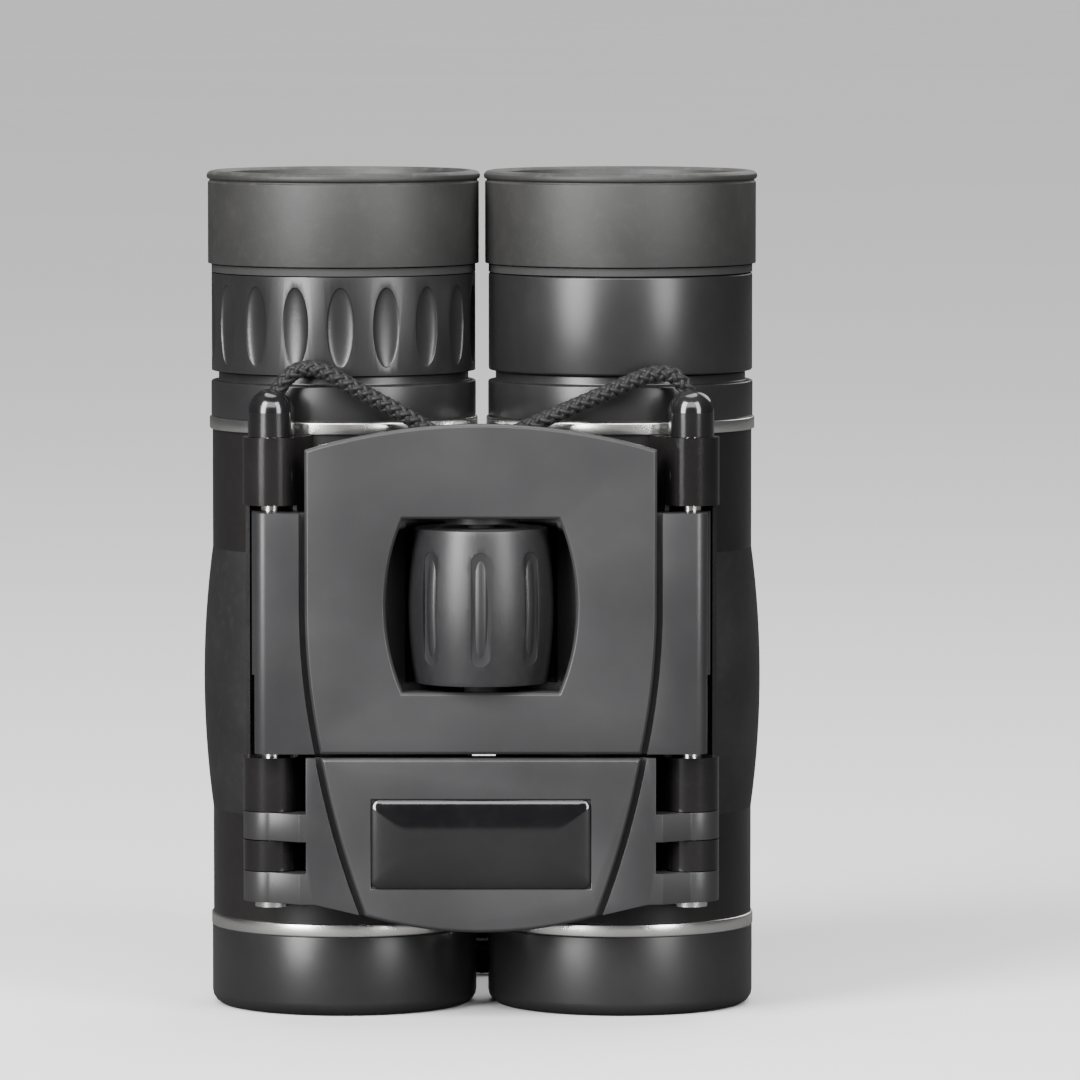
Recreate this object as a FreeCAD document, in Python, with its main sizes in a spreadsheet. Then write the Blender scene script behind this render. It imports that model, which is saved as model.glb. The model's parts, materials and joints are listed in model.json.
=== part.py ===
import FreeCAD, Part
import math
import os
import re
import Sketcher

# Compact folding roof-prism binoculars, standing on their objective ends.
# +Z runs up towards the eyepieces, the bridge with the focus wheel faces -Y and X runs across.
# "right_" parts belong to the user's right eye, at x < 0, and "left_" parts are at x > 0.
# Lengths are in millimetres.

SIZES = {
    # Barrels
    "axis_spacing": (31.5, "between the two barrel axes when folded"),
    "barrel_radius": (14.93, "outside of a barrel"),
    "barrel_wall": (1.43, "wall of a barrel"),
    "barrel_height": (55.2, "main length of a barrel, between its two trim rings"),
    "flat_depth": (0.73, "depth of the flat that faces the other barrel"),
    "spigot_step": (1.03, "barrel's outside to the spigots that carry the rings"),
    "spigot_wall": (0.9, "wall of the spigots"),
    "spigot_foot": (1.6, "lower end of the bottom spigot above the rest face"),
    "spigot_head": (4.3, "rise of the top spigot above the barrel"),
    "pad_bulge": (1.0, "how far the grip pad stands proud"),
    "pad_height": (29.7, "length of the grip pad"),
    "pad_rise": (12.0, "lower trim ring to the grip pad"),
    "pad_depth": (0.5, "how deep the grip pad is let into the barrel"),
    "pad_angle": (96.0, "how far the grip pad reaches round the barrel, in degrees"),
    # Rings
    "objective_ring_proud": (0.14, "objective ring outside the barrel"),
    "objective_ring_height": (9.05, "height of the objective ring"),
    "objective_ring_round": (1.5, "rounding of the objective ring's foot"),
    "mouth_margin": (0.9, "clear aperture to the opening in front of it"),
    "objective_lip": (1.3, "thickness of the objective ring's front lip"),
    "lower_trim_proud": (0.22, "lower bright ring outside the barrel"),
    "lower_trim_height": (1.45, "height of the lower bright ring"),
    "upper_trim_proud": (0.33, "upper bright ring outside the barrel"),
    "upper_trim_height": (1.4, "height of the upper bright ring"),
    "collar_proud": (0.12, "collar outside the barrel"),
    "collar_height": (4.1, "height of the collar"),
    "collar_deck": (1.1, "thickness of the collar's top"),
    "ring_gap": (1.1, "spaces above and below the ocular ring"),
    "neck_depth": (0.85, "collar's outside to the neck in the groove over it"),
    "dial_proud": (0.07, "ocular ring and dioptre ring outside the barrel"),
    "dial_height": (11.1, "height of the ocular ring and the dioptre ring"),
    "dial_skirt": (1.0, "how far those rings reach down over the collar's neck"),
    "dimple_count": (18, "oval dimples round the dioptre ring"),
    "dimple_width": (3.2, "width of a dimple"),
    "dimple_height": (9.0, "height of a dimple"),
    "dimple_depth": (0.4, "depth of a dimple"),
    # Eyepieces
    "cup_proud": (0.47, "rubber eyecup outside the barrel"),
    "cup_height": (10.5, "height of the eyecup"),
    "cup_lip": (0.15, "how far the eyecup's lip stands proud"),
    "cup_lip_height": (0.6, "height of the eyecup's lip"),
    "cup_wall": (1.8, "wall of the eyecup at its mouth"),
    "cup_floor": (1.6, "thickness of the eyecup's floor"),
    "eyepiece_room": (2.0, "spigot's bore to the eyepiece tube"),
    "eyepiece_wall": (1.1, "wall of the eyepiece tube"),
    "eyepiece_insert": (5.0, "how deep the eyepiece tube reaches into the barrel"),
    "flange_height": (1.5, "thickness of the flange that carries the eyecup"),
    "band_gap": (0.12, "fine grooves above and below the band under the eyecup"),
    "lens_edge": (1.2, "edge thickness of the lenses"),
    "lens_rise": (1.0, "rise of the lenses' curved faces"),
    # Objectives
    "cell_room": (0.6, "barrel's bore to the sliding objective cell"),
    "cell_wall": (1.3, "wall of the objective cell"),
    "cell_height": (14.0, "length of the objective cell"),
    "cell_bottom": (8.0, "front of the objective cell above the rest face"),
    "lens_ledge": (0.6, "cell's bore to the clear aperture in the retaining ring"),
    "stop_ledge": (0.3, "clear aperture to the stop behind the lens"),
    "arm_thickness": (0.9, "thickness of the cell's drive arm"),
    "arm_half_width": (2.0, "half width of the cell's drive arm"),
    "ear_thickness": (1.1, "thickness of each ear of the cell's fork"),
    "eye_radius": (1.9, "radius of the eyes that slide on the hinge rod"),
    # Prisms
    "cage_room": (0.2, "barrel's bore to the prism cage"),
    "cage_drop": (7.0, "top of the barrel to the top of the prism cage"),
    "cage_floor": (2.0, "thickness of the prism cage's two end plates"),
    "cage_aperture": (7.2, "radius of the light holes in the prism cage"),
    "prism_half_width": (7.2, "half width of the prisms"),
    "prism_gap": (0.45, "air gap between the two prisms"),
    "prism_side": (17.0, "length of the roof prism's equal faces"),
    "penta_heel": (8.0, "half-penta prism in front of the barrel axis"),
    "penta_entrance": (13.5, "length of the half-penta prism's entrance face"),
    # Hinges
    "hinge_offset": (7.75, "hinge axis outside its barrel's axis, across"),
    "hinge_reach": (17.0, "hinge axis in front of the barrel axes"),
    "rod_radius": (1.2, "hinge rod"),
    "rod_in_cap": (2.55, "how far the rod reaches into the strap cap"),
    "knuckle_radius": (3.2, "hinge knuckles and fingers"),
    "lug_radius": (2.2, "bridge lug round the rod, inside the barrel's trough"),
    "trough_room": (0.5, "that lug to the barrel's trough"),
    "hinge_foot": (3.1, "lower trim ring to the lowest finger"),
    "second_finger_height": (3.4, "lowest finger of the bridge"),
    "second_knuckle_height": (3.6, "lowest knuckle of the barrel"),
    "first_finger_height": (3.1, "upper finger of the bridge"),
    "first_knuckle_height": (6.1, "lower main knuckle of the barrel"),
    "low_pin_gap": (0.9, "bare rod over the lower main knuckle"),
    "high_pin_gap": (0.7, "bare rod under the top knuckle"),
    "top_knuckle_height": (7.6, "top knuckle of the barrel"),
    "cap_radius": (2.6, "strap cap"),
    "cap_height": (5.35, "height of the strap cap"),
    "cord_radius": (1.0, "strap cord"),
    "strap_end_rise": (3.3, "top of the barrel to the strap's end in its cap"),
    "strap_end_out": (0.2, "strap's end outside the rod's axis"),
    "strap_end_back": (0.675, "strap's end behind the rod's axis"),
    "screw_head_radius": (1.9, "head of the rod's end screw"),
    "screw_head_height": (0.7, "head of the rod's end screw"),
    # Bridge
    "plate_stand": (5.5, "front of the cover plates in front of the hinge axes"),
    "plate_thickness": (1.3, "thickness of the cover plates"),
    "side_step": (0.2, "how far the sides lie behind the cover plates"),
    "skin_thickness": (2.0, "bridge frame behind the cover plates"),
    "plate_inset": (0.65, "cover plate's edge inside the side strip's edge"),
    "strip_width": (5.0, "width of the side strips"),
    "panel_inset": (3.95, "hinge axis to the recess beside the lower knuckles"),
    "plate_crown": (2.9, "rise of the upper plate's curved top edge"),
    "plate_overhang": (1.7, "upper plate's crown over the top of the barrels"),
    "split_width": (0.44, "gap between the upper and lower plates"),
    "waist_height": (16.6, "where the plate's sides begin to curve in, above the split"),
    "waist_half_width": (17.9, "half width of the plates at the split"),
    "chin_half_width": (12.9, "half width of the lower plate's bottom edge"),
    "chin_drop": (1.8, "depth of the lower plate's curved bottom edge"),
    "chin_side_radius": (100.0, "radius of the lower plate's bowed sides"),
    "chin_height": (1.75, "bottom edge's corners above the lower trim ring"),
    "panel_foot": (3.3, "bottom of the side panels above the lower trim ring"),
    "plate_round": (0.3, "rounding of the plates' front edges"),
    "strip_round": (1.4, "rounding of the side strips' outer edges"),
    "label_half_width": (12.25, "half width of the label plate"),
    "label_height": (10.0, "height of the label plate"),
    "label_rise": (4.9, "label plate above the lower trim ring"),
    "label_thickness": (1.0, "thickness of the domed label plate"),
    "label_round": (0.7, "rounding of the label plate's front edge"),
    "label_recess": (0.3, "depth of the recess that the label plate sits in"),
    "rear_clearance": (0.45, "bridge's back to the folded barrels"),
    "rear_wall": (0.9, "thickness of the rear cover"),
    "rear_web_gap": (0.744, "rear cover's edge to the hinge web"),
    "ridge_reach": (8.6, "rear cover's ridge in front of the barrel axes"),
    "rail_width": (1.2, "rails that carry the rear cover"),
    "cover_screw_radius": (0.8, "screws that hold the cover plates"),
    "cover_screw_head": (1.5, "heads of those screws"),
    # Focusing
    "window_drop": (0.6, "top of the side strips to the wheel window"),
    "window_height": (19.4, "height of the wheel window"),
    "window_half_width": (8.7, "half width of the wheel window at its ends"),
    "window_bulge": (1.95, "how far the window's sides bow out"),
    "wheel_radius": (8.2, "focus wheel at its middle"),
    "wheel_crown": (0.8, "how much smaller the wheel is at its ends"),
    "wheel_height": (17.3, "length of the focus wheel"),
    "wheel_drop": (1.3, "top of the window to the top of the wheel"),
    "slot_count": (8, "slots round the focus wheel"),
    "slot_width": (2.2, "width of a slot"),
    "slot_height": (12.7, "length of a slot"),
    "slot_depth": (0.5, "depth of a slot"),
    "hub_radius": (5.2, "hub inside the wheel's rubber"),
    "spindle_radius": (1.5, "spindle of the focus wheel"),
    "thread_radius": (1.9, "thread of the spindle"),
    "bush_radius": (2.6, "bushes that the spindle turns in"),
    "bearing_radius": (4.2, "bearing bosses of the bridge"),
    "bearing_height": (1.6, "thickness of the bearing bosses"),
    "bearing_gap": (0.6, "wheel to its upper bearing"),
    "yoke_drop": (3.2, "underside of the wheel to the middle of the yoke"),
    "yoke_thickness": (2.8, "thickness of the focus yoke"),
    "yoke_heel": (0.3, "back of the yoke's bar behind the hinge axes"),
    "yoke_boss_radius": (3.8, "boss of the yoke round the nut"),
    "nut_radius": (3.0, "outside of the brass nut"),
    "focus_travel": (1.3, "travel of the focus each way"),
    # Clearances
    "running_gap": (0.05, "radial clearance of turning and sliding fits"),
    "end_gap": (0.1, "end clearance between hinge knuckles and fingers"),
    "sweep_gap": (0.35, "clearance round parts that pass each other"),
    "seat_gap": (0.02, "clearance of seated pieces"),
}

# Lengths and levels that follow from the sizes.
DERIVED = {
    "barrel_x": "axis_spacing / 2",
    "hinge_x": "barrel_x + hinge_offset",
    "wheel_reach": "hinge_reach",
    "plate_reach": "hinge_reach + plate_stand",
    "yoke_front": "hinge_reach + eye_radius",
    "yoke_back": "hinge_reach - yoke_heel",
    "hinge_span": "sqrt(hinge_offset ^ 2 + hinge_reach ^ 2)",
    "axis_y": "(wheel_reach + wheel_radius - cup_radius - cup_lip) / 2",
    "bore_radius": "barrel_radius - barrel_wall",
    "flat_reach": "barrel_radius - flat_depth",
    "spigot_radius": "barrel_radius - spigot_step",
    "objective_ring_radius": "barrel_radius + objective_ring_proud",
    "lower_trim_radius": "barrel_radius + lower_trim_proud",
    "upper_trim_radius": "barrel_radius + upper_trim_proud",
    "collar_radius": "barrel_radius + collar_proud",
    "neck_radius": "collar_radius - neck_depth",
    "dial_radius": "barrel_radius + dial_proud",
    "cup_radius": "barrel_radius + cup_proud",
    "flange_radius": "cup_radius - cup_wall",
    "eyepiece_radius": "spigot_bore - eyepiece_room",
    "cell_radius": "bore_radius - cell_room",
    "cell_clear": "cell_radius - cell_wall - lens_ledge",
    "objective_mouth": "cell_clear + mouth_margin",
    "cage_radius": "bore_radius - cage_room",
    "trough_radius": "lug_radius + trough_room",
    "spigot_bore": "spigot_radius - spigot_wall",
    "seat_radius": "spigot_radius + seat_gap",
    "lower_trim_top": "objective_ring_height + lower_trim_height",
    "body_top": "lower_trim_top + barrel_height",
    "upper_trim_top": "body_top + upper_trim_height",
    "collar_top": "upper_trim_top + collar_height",
    "dial_bottom": "collar_top + ring_gap",
    "dial_top": "dial_bottom + dial_height",
    "cup_bottom": "dial_top + ring_gap",
    "cup_top": "cup_bottom + cup_height",
    "band_low": "dial_top + band_gap",
    "band_top": "cup_bottom - band_gap",
    "finger_two_low": "lower_trim_top + hinge_foot",
    "knuckle_two_low": "finger_two_low + second_finger_height",
    "finger_one_low": "knuckle_two_low + second_knuckle_height",
    "knuckle_one_low": "finger_one_low + first_finger_height",
    "knuckle_one_top": "knuckle_one_low + first_knuckle_height",
    "strip_low": "knuckle_one_top + low_pin_gap",
    "top_knuckle_low": "body_top - top_knuckle_height",
    "strip_top": "top_knuckle_low - high_pin_gap",
    "split_level": "strip_low - low_pin_gap / 2",
    "window_top": "strip_top - window_drop",
    "window_low": "window_top - window_height",
    "wheel_top": "window_top - wheel_drop",
    "wheel_low": "wheel_top - wheel_height",
    "yoke_level": "wheel_low - yoke_drop",
    "yoke_low": "yoke_level - yoke_thickness / 2",
    "yoke_top": "yoke_level + yoke_thickness / 2",
    "fork_low": "yoke_low - ear_thickness - end_gap",
    "fork_top": "yoke_top + ear_thickness + end_gap",
    "arm_slot_low": "fork_low - focus_travel - end_gap",
    "arm_slot_top": "fork_top + focus_travel + end_gap",
    "arm_outer": "sqrt((bore_radius - end_gap) ^ 2 - arm_half_width ^ 2)",
    "arm_inner": "arm_outer - arm_thickness",
    "cage_top": "body_top - cage_drop",
    "cage_low": "cage_top - 2 * cage_floor - prism_side - 2 * running_gap",
    "prism_low": "cage_low + cage_floor + running_gap",
    "prism_back": "prism_side - penta_heel",
    "strip_edge": "hinge_x - knuckle_radius",
    "panel_edge": "hinge_x - panel_inset",
    "plate_edge": "strip_edge - plate_inset",
    "strip_outer": "strip_edge + strip_width",
    "side_reach": "plate_reach - side_step",
    "frame_reach": "plate_reach - plate_thickness",
    "skin_reach": "frame_reach - skin_thickness",
    "chin_level": "lower_trim_top + chin_height",
    "crown_level": "body_top + plate_overhang",
    "shoulder_level": "crown_level - plate_crown",
    "plate_low": "split_level + split_width / 2",
    "lower_plate_top": "split_level - split_width / 2",
    "waist_level": "plate_low + waist_height",
    "label_low": "lower_trim_top + label_rise",
    "lower_bearing_top": "yoke_low - focus_travel - 2 * end_gap",
    "upper_bearing_low": "wheel_top + bearing_gap",
    "upper_bearing_top": "upper_bearing_low + bearing_height",
    "lower_bearing_low": "lower_bearing_top - bearing_height",
    "rear_radius": "barrel_radius + rear_clearance",
    "web_side": "(rear_radius * hinge_offset - knuckle_radius * hinge_span) / hinge_reach",
    "rear_half_width": "barrel_x + web_side - rear_web_gap",
    "ridge_half_width": "barrel_x - sqrt(rear_radius ^ 2 - ridge_reach ^ 2)",
    "wheel_room": "max(window_half_width + window_bulge; wheel_radius) + sweep_gap",
    "tube_radius_inside": "eyepiece_radius - eyepiece_wall",
}

doc = FreeCAD.newDocument("binoculars")
sheet = doc.addObject("Spreadsheet::Sheet", "sizes")
for row, (alias, (size, note)) in enumerate(SIZES.items(), start=1):
    sheet.set(f"A{row}", note)
    sheet.set(f"B{row}", str(size))
    sheet.setAlias(f"B{row}", alias)
doc.recompute()

NAME = re.compile(r"[a-z]+(?:_[a-z]+)+")
NEAR = 0.01
SMALLEST_CUT = 1e-4
VOLUME_SHARE = 0.01
# A half circle's radius is kept just over half its chord.
HALF_CIRCLE_SLACK = 1.0001


def formula(text):
    """An expression on the sheet's cells, from a formula in size names and derived names."""

    def spelled(match):
        word = match.group(0)
        if word in DERIVED:
            return "(" + formula(DERIVED[word]) + ")"
        return "sizes." + word

    return NAME.sub(spelled, str(text))


def number(text):
    return float(sheet.evalExpression(formula(text)))


# ---------------------------------------------------------------- building blocks

PARTS = {}


def new_body(label, x="0", y="axis_y", z="0"):
    """An empty body, placed in the frame by formulas."""
    body = doc.addObject("PartDesign::Body", label)
    body.Label = label
    for axis, text in (("x", x), ("y", y), ("z", z)):
        body.setExpression(f"Placement.Base.{axis}", formula(text))
    PARTS[label] = body
    return body


def origin_feature(body, role):
    return next(f for f in body.Origin.OriginFeatures if f.Role == role)


def outline(body, role, corners, offset="0"):
    """A closed sketch on an origin plane, offset along its normal.

    A corner is (across, up), or (across, up, radius, side) when the edge that follows it is an arc:
    side 1 bows to the left of the way round, and -1 to the right.
    """
    sketch = body.newObject("Sketcher::SketchObject", body.Label + "_sketch")
    sketch.AttachmentSupport = [(origin_feature(body, role), "")]
    sketch.MapMode = "FlatFace"
    sketch.setExpression("AttachmentOffset.Base.z", formula(offset))
    spots = [FreeCAD.Vector(number(c[0]), number(c[1]), 0) for c in corners]
    ends = []
    for i, corner in enumerate(corners):
        here = spots[i]
        there = spots[(i + 1) % len(spots)]
        if len(corner) == 2:
            sketch.addGeometry(Part.LineSegment(here, there), False)
            ends.append((1, 2))
        else:
            sketch.addGeometry(bowed_edge(here, there, number(corner[2]), corner[3]), False)
            ends.append((1, 2) if corner[3] < 0 else (2, 1))
    for i in range(len(corners)):
        following = (i + 1) % len(corners)
        joined = Sketcher.Constraint("Coincident", i, ends[i][1], following, ends[following][0])
        sketch.addConstraint(joined)
    for i, corner in enumerate(corners):
        tie(sketch, Sketcher.Constraint("DistanceX", -1, 1, i, ends[i][0], spots[i].x), corner[0])
        tie(sketch, Sketcher.Constraint("DistanceY", -1, 1, i, ends[i][0], spots[i].y), corner[1])
        if len(corner) == 4:
            tie(sketch, Sketcher.Constraint("Radius", i, number(corner[2])), corner[2])
    return sketch


def bowed_edge(here, there, radius, side):
    """The shorter arc of a radius between two points, bowing to one side of the way from here."""
    chord = there - here
    half = chord.Length / 2
    left = FreeCAD.Vector(-chord.y, chord.x, 0).normalize()
    inward = left * (-side * math.sqrt(max(radius ** 2 - half ** 2, 0)))
    centre = (here + there) / 2 + inward
    start, end = (here, there) if side < 0 else (there, here)
    first = math.atan2(start.y - centre.y, start.x - centre.x)
    last = math.atan2(end.y - centre.y, end.x - centre.x)
    if last < first:
        last += 2 * math.pi
    circle = Part.Circle(centre, FreeCAD.Vector(0, 0, 1), radius)
    return Part.ArcOfCircle(circle, first, last)


def tie(sketch, constraint, text):
    index = sketch.addConstraint(constraint)
    sketch.setExpression(f"Constraints[{index}]", formula(text))


def turned(body, corners):
    """A full revolution about the body's own Z axis of an outline in (radius, height)."""
    feature = body.newObject("PartDesign::Revolution", body.Label + "_turned")
    feature.Profile = outline(body, "XZ_Plane", corners)
    feature.ReferenceAxis = (origin_feature(body, "Z_Axis"), [""])
    feature.Angle = 360
    return feature


def raised(body, corners, low, top, role="XY_Plane"):
    """A pad of an outline from one distance along the plane's normal to another."""
    feature = body.newObject("PartDesign::Pad", body.Label + "_pad")
    feature.Profile = outline(body, role, corners, low)
    feature.setExpression("Length", formula(f"({top}) - ({low})"))
    return feature


def sunk(body, corners, low, top, role="XY_Plane"):
    """A pocket of an outline between two distances along the plane's normal."""
    before = solid_volume(body)
    feature = body.newObject("PartDesign::Pocket", body.Label + "_pocket")
    feature.Profile = outline(body, role, corners, top)
    feature.setExpression("Length", formula(f"({top}) - ({low})"))
    must_cut(body, before)
    return feature


def solid_volume(body):
    doc.recompute()
    return body.Shape.Volume


def must_cut(body, before):
    if solid_volume(body) > before - SMALLEST_CUT:
        raise RuntimeError(f"a cut in {body.Label} removed nothing")


def rod(body, x, y, low, top, radius, cut=False, along="Z", may_miss=False):
    """A cylinder along Z, or along Y from front to back, added to or cut from a body.

    may_miss marks a relief that other sizes can leave clear of the body.
    """
    before = solid_volume(body) if cut else 0
    kind = "SubtractiveCylinder" if cut else "AdditiveCylinder"
    feature = body.newObject("PartDesign::" + kind, body.Label + "_cylinder")
    if along == "Y":
        feature.Placement.Rotation = FreeCAD.Rotation(FreeCAD.Vector(1, 0, 0), -90)
        x, y, z = x, low, y
    else:
        z = low
    for axis, text in (("x", x), ("y", y), ("z", z)):
        feature.setExpression(f"Placement.Base.{axis}", formula(text))
    feature.setExpression("Radius", formula(radius))
    feature.setExpression("Height", formula(f"({top}) - ({low})"))
    if cut and not may_miss:
        must_cut(body, before)
    return feature


def block(body, low, top, cut=False):
    """A box between two corners, added to or cut from a body."""
    before = solid_volume(body) if cut else 0
    kind = "SubtractiveBox" if cut else "AdditiveBox"
    feature = body.newObject("PartDesign::" + kind, body.Label + "_box")
    for axis, side, start, end in zip("xyz", ("Length", "Width", "Height"), low, top):
        feature.setExpression(f"Placement.Base.{axis}", formula(start))
        feature.setExpression(side, formula(f"({end}) - ({start})"))
    if cut:
        must_cut(body, before)
    return feature


def repeated_round(body, feature, count):
    """A feature repeated evenly round the body's own Z axis."""
    pattern = body.newObject("PartDesign::PolarPattern", body.Label + "_pattern")
    pattern.Originals = [feature]
    pattern.Axis = (origin_feature(body, "Z_Axis"), [""])
    pattern.Angle = 360
    pattern.setExpression("Occurrences", formula(count))
    body.Tip = pattern
    doc.recompute()
    return pattern


def softened(body, kind, size, wanted):
    """A fillet or chamfer on the edges that a test picks out."""
    doc.recompute()
    base = body.Tip
    names = [f"Edge{i}" for i, e in enumerate(base.Shape.Edges, start=1) if wanted(e)]
    if not names:
        raise RuntimeError(f"no edges of {body.Label} to soften")
    feature = body.newObject("PartDesign::" + kind, body.Label + "_edges")
    feature.Base = (base, names)
    feature.setExpression("Radius" if kind == "Fillet" else "Size", formula(size))
    doc.recompute()
    return feature


def edge_at(coordinate, text):
    """A test for edges that lie wholly at one value of x, y or z in the body."""
    place = number(text)

    def test(edge):
        box = edge.BoundBox
        low = getattr(box, coordinate.upper() + "Min")
        high = getattr(box, coordinate.upper() + "Max")
        return abs(low - place) < NEAR and abs(high - place) < NEAR

    return test


def ring_outline(inner, outer, low, top):
    return [(inner, low), (outer, low), (outer, top), (inner, top)]


def box_outline(left, right, low, top):
    return [(left, low), (right, low), (right, top), (left, top)]


def mirrored_outline(right_half, foot_arc=()):
    """A closed outline from its right half, listed upwards from the bottom to the top.

    An arc is given on the corner that starts it, and foot_arc is the radius and side of a curved
    bottom edge.
    """
    left_half = []
    for i in range(len(right_half) - 1, -1, -1):
        corner = right_half[i]
        arc = right_half[i - 1][2:] if i > 0 else foot_arc
        left_half.append((f"-({corner[0]})", corner[1]) + tuple(arc))
    return list(right_half) + left_half


def arc_over(half_chord, rise):
    """The radius of an arc from half its chord and its rise."""
    return f"(({half_chord}) ^ 2 + ({rise}) ^ 2) / (2 * ({rise}))"


SIDES = {"right": -1, "left": 1}


def barrel_at(side):
    return f"{SIDES[side]} * barrel_x"


def on_hinge_line(side, distance, aside="0"):
    """A point in the barrel's own frame, at a distance from its axis towards the hinge axis.

    aside moves it square to that line, outwards from the middle of the binoculars.
    """
    x = f"{SIDES[side]} * ((hinge_offset * ({distance}) + hinge_reach * ({aside})) / hinge_span)"
    y = f"(hinge_offset * ({aside}) - hinge_reach * ({distance})) / hinge_span"
    return x, y


def hinge_at(side):
    """The hinge axis in the barrel's own frame."""
    return f"{SIDES[side]} * hinge_offset", "-hinge_reach"


def hinge_line_box(side, near, far, outer, inner=None):
    """A rectangle along the line from the barrel axis to the hinge axis."""
    inner = inner or f"-({outer})"
    corners = [
        on_hinge_line(side, near, inner),
        on_hinge_line(side, far, inner),
        on_hinge_line(side, far, outer),
        on_hinge_line(side, near, outer),
    ]
    return corners


# ---------------------------------------------------------------- strap's route

# The strap's route in the frame: from the cap on each side, behind the bridge, through the slit
# between the barrels and down their backs to the coil. These points are chosen by hand.
STRAPS = {
    "right": [
        (-23.7, -11.5, 69.0),
        (-22.4, -11.6, 72.1),
        (-19.0, -11.9, 73.9),
        (-13.7, -12.3, 70.9),
        (-7.6, -12.6, 67.7),
        (-2.6, -10.6, 64.0),
        (-0.1, -5.5, 61.7),
        (0.0, 0.5, 61.2),
        (0.0, 7.5, 61.5),
        (-0.2, 14.5, 60.8),
        (-1.4, 21.0, 56.0),
        (-2.0, 23.3, 46.0),
        (-2.5, 23.2, 33.0),
        (-2.0, 23.9, 20.0),
        (-3.8, 26.0, 9.0),
        (-8.4, 28.6, 2.8),
        (-11.6, 32.6, 1.1),
        (-12.0, 38.0, 1.1),
        (-12.0, 40.8, 1.15),
    ],
    "left": [
        (23.7, -11.5, 69.0),
        (22.9, -11.6, 71.9),
        (19.9, -11.9, 73.2),
        (14.2, -12.3, 70.7),
        (7.4, -12.6, 67.8),
        (2.8, -10.6, 65.6),
        (0.1, -5.5, 64.0),
        (0.0, 0.5, 63.8),
        (0.0, 7.5, 63.7),
        (0.3, 14.5, 63.1),
        (1.8, 21.4, 59.0),
        (2.5, 23.8, 49.0),
        (2.1, 23.2, 36.0),
        (2.6, 24.0, 23.0),
        (3.6, 26.6, 13.0),
        (8.2, 29.4, 8.6),
        (11.7, 33.0, 7.4),
        (12.0, 38.0, 7.3),
        (12.0, 40.8, 7.25),
    ],
}
COIL_CENTRE = FreeCAD.Vector(0, 40.8, 0)
COIL_TURN_RADIUS = 11.0
COIL_WIDTH = 4.2
COIL_HEIGHT = 8.3
TIE_ROOM = 0.1
TIE_THICKNESS = 0.5
TIE_WIDTH = 4.0
ARC_SHARE = 0.45


# ---------------------------------------------------------------- barrels


def barrel_shell(side):
    """The barrel with its hinge web, knuckles and the trough that the bridge's lug lies in."""
    sign = SIDES[side]
    body = new_body(f"{side}_barrel_shell", barrel_at(side))
    turned(
        body,
        [
            ("spigot_bore", "spigot_foot"),
            ("spigot_radius", "spigot_foot"),
            ("spigot_radius", "lower_trim_top"),
            ("barrel_radius", "lower_trim_top"),
            ("barrel_radius", "body_top"),
            ("spigot_radius", "body_top"),
            ("spigot_radius", "body_top + spigot_head"),
            ("spigot_bore", "body_top + spigot_head"),
            ("spigot_bore", "body_top - spigot_wall"),
            ("bore_radius", "body_top - 2 * spigot_wall"),
            ("bore_radius", "lower_trim_top + 2 * spigot_wall"),
            ("spigot_bore", "lower_trim_top + spigot_wall"),
        ],
    )
    web_root = "bore_radius + barrel_wall / 2"
    raised(
        body,
        hinge_line_box(side, web_root, "hinge_span", "knuckle_radius"),
        "knuckle_two_low + end_gap",
        "body_top",
    )
    knuckles = (
        ("knuckle_two_low + end_gap", "finger_one_low - end_gap"),
        ("knuckle_one_low + end_gap", "knuckle_one_top"),
        ("top_knuckle_low", "body_top"),
    )
    x, y = hinge_at(side)
    for low, top in knuckles:
        rod(body, x, y, low, top, "knuckle_radius")
    # The lowest bridge finger turns in its own gap, and the lug lies in the trough.
    gap_radius = "knuckle_radius + sweep_gap"
    rod(body, x, y, "finger_one_low - end_gap", "knuckle_one_low + end_gap", gap_radius, cut=True)
    rod(body, x, y, "knuckle_one_top", "top_knuckle_low", "trough_radius", cut=True)
    bore = "rod_radius + running_gap"
    rod(body, x, y, "knuckle_two_low", "body_top + end_gap", bore, cut=True)
    # A flat towards the other barrel leaves the slit that the strap passes through.
    faced = sorted((f"{-sign} * flat_reach", f"{-sign} * (barrel_radius + pad_bulge)"), key=number)
    half = "barrel_radius"
    block(
        body,
        (faced[0], f"-({half})", "lower_trim_top"),
        (faced[1], half, "body_top"),
        cut=True,
    )
    # Relief for the focus wheel.
    rod(
        body,
        f"{-sign} * barrel_x",
        "-wheel_reach",
        "wheel_low - sweep_gap",
        "wheel_top + sweep_gap",
        "wheel_radius + sweep_gap",
        cut=True,
        may_miss=True,
    )
    # The slot that the cell's fork passes through, open on the inner side for the yoke.
    slot = hinge_line_box(
        side,
        "arm_inner",
        "hinge_span",
        "arm_half_width + end_gap",
        "-(knuckle_radius + sweep_gap)",
    )
    sunk(body, slot, "arm_slot_low", "arm_slot_top")
    # The shallow bed of the grip pad.
    pad_bed(body, side)
    return body


def pad_profile(side, inner):
    sign = SIDES[side]
    low = "lower_trim_top + pad_rise"
    corners = [
        (f"{sign} * ({inner})", low),
        (f"{sign} * barrel_radius", low, arc_over("pad_height / 2", "pad_bulge"), -sign),
        (f"{sign} * barrel_radius", f"{low} + pad_height"),
        (f"{sign} * ({inner})", f"{low} + pad_height"),
    ]
    return corners


def pad_bed(body, side):
    before = solid_volume(body)
    feature = body.newObject("PartDesign::Groove", body.Label + "_bed")
    feature.Profile = outline(body, "XZ_Plane", pad_profile(side, "barrel_radius - pad_depth"))
    feature.ReferenceAxis = (origin_feature(body, "Z_Axis"), [""])
    feature.setExpression("Angle", formula("pad_angle"))
    feature.Midplane = True
    must_cut(body, before)


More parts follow.
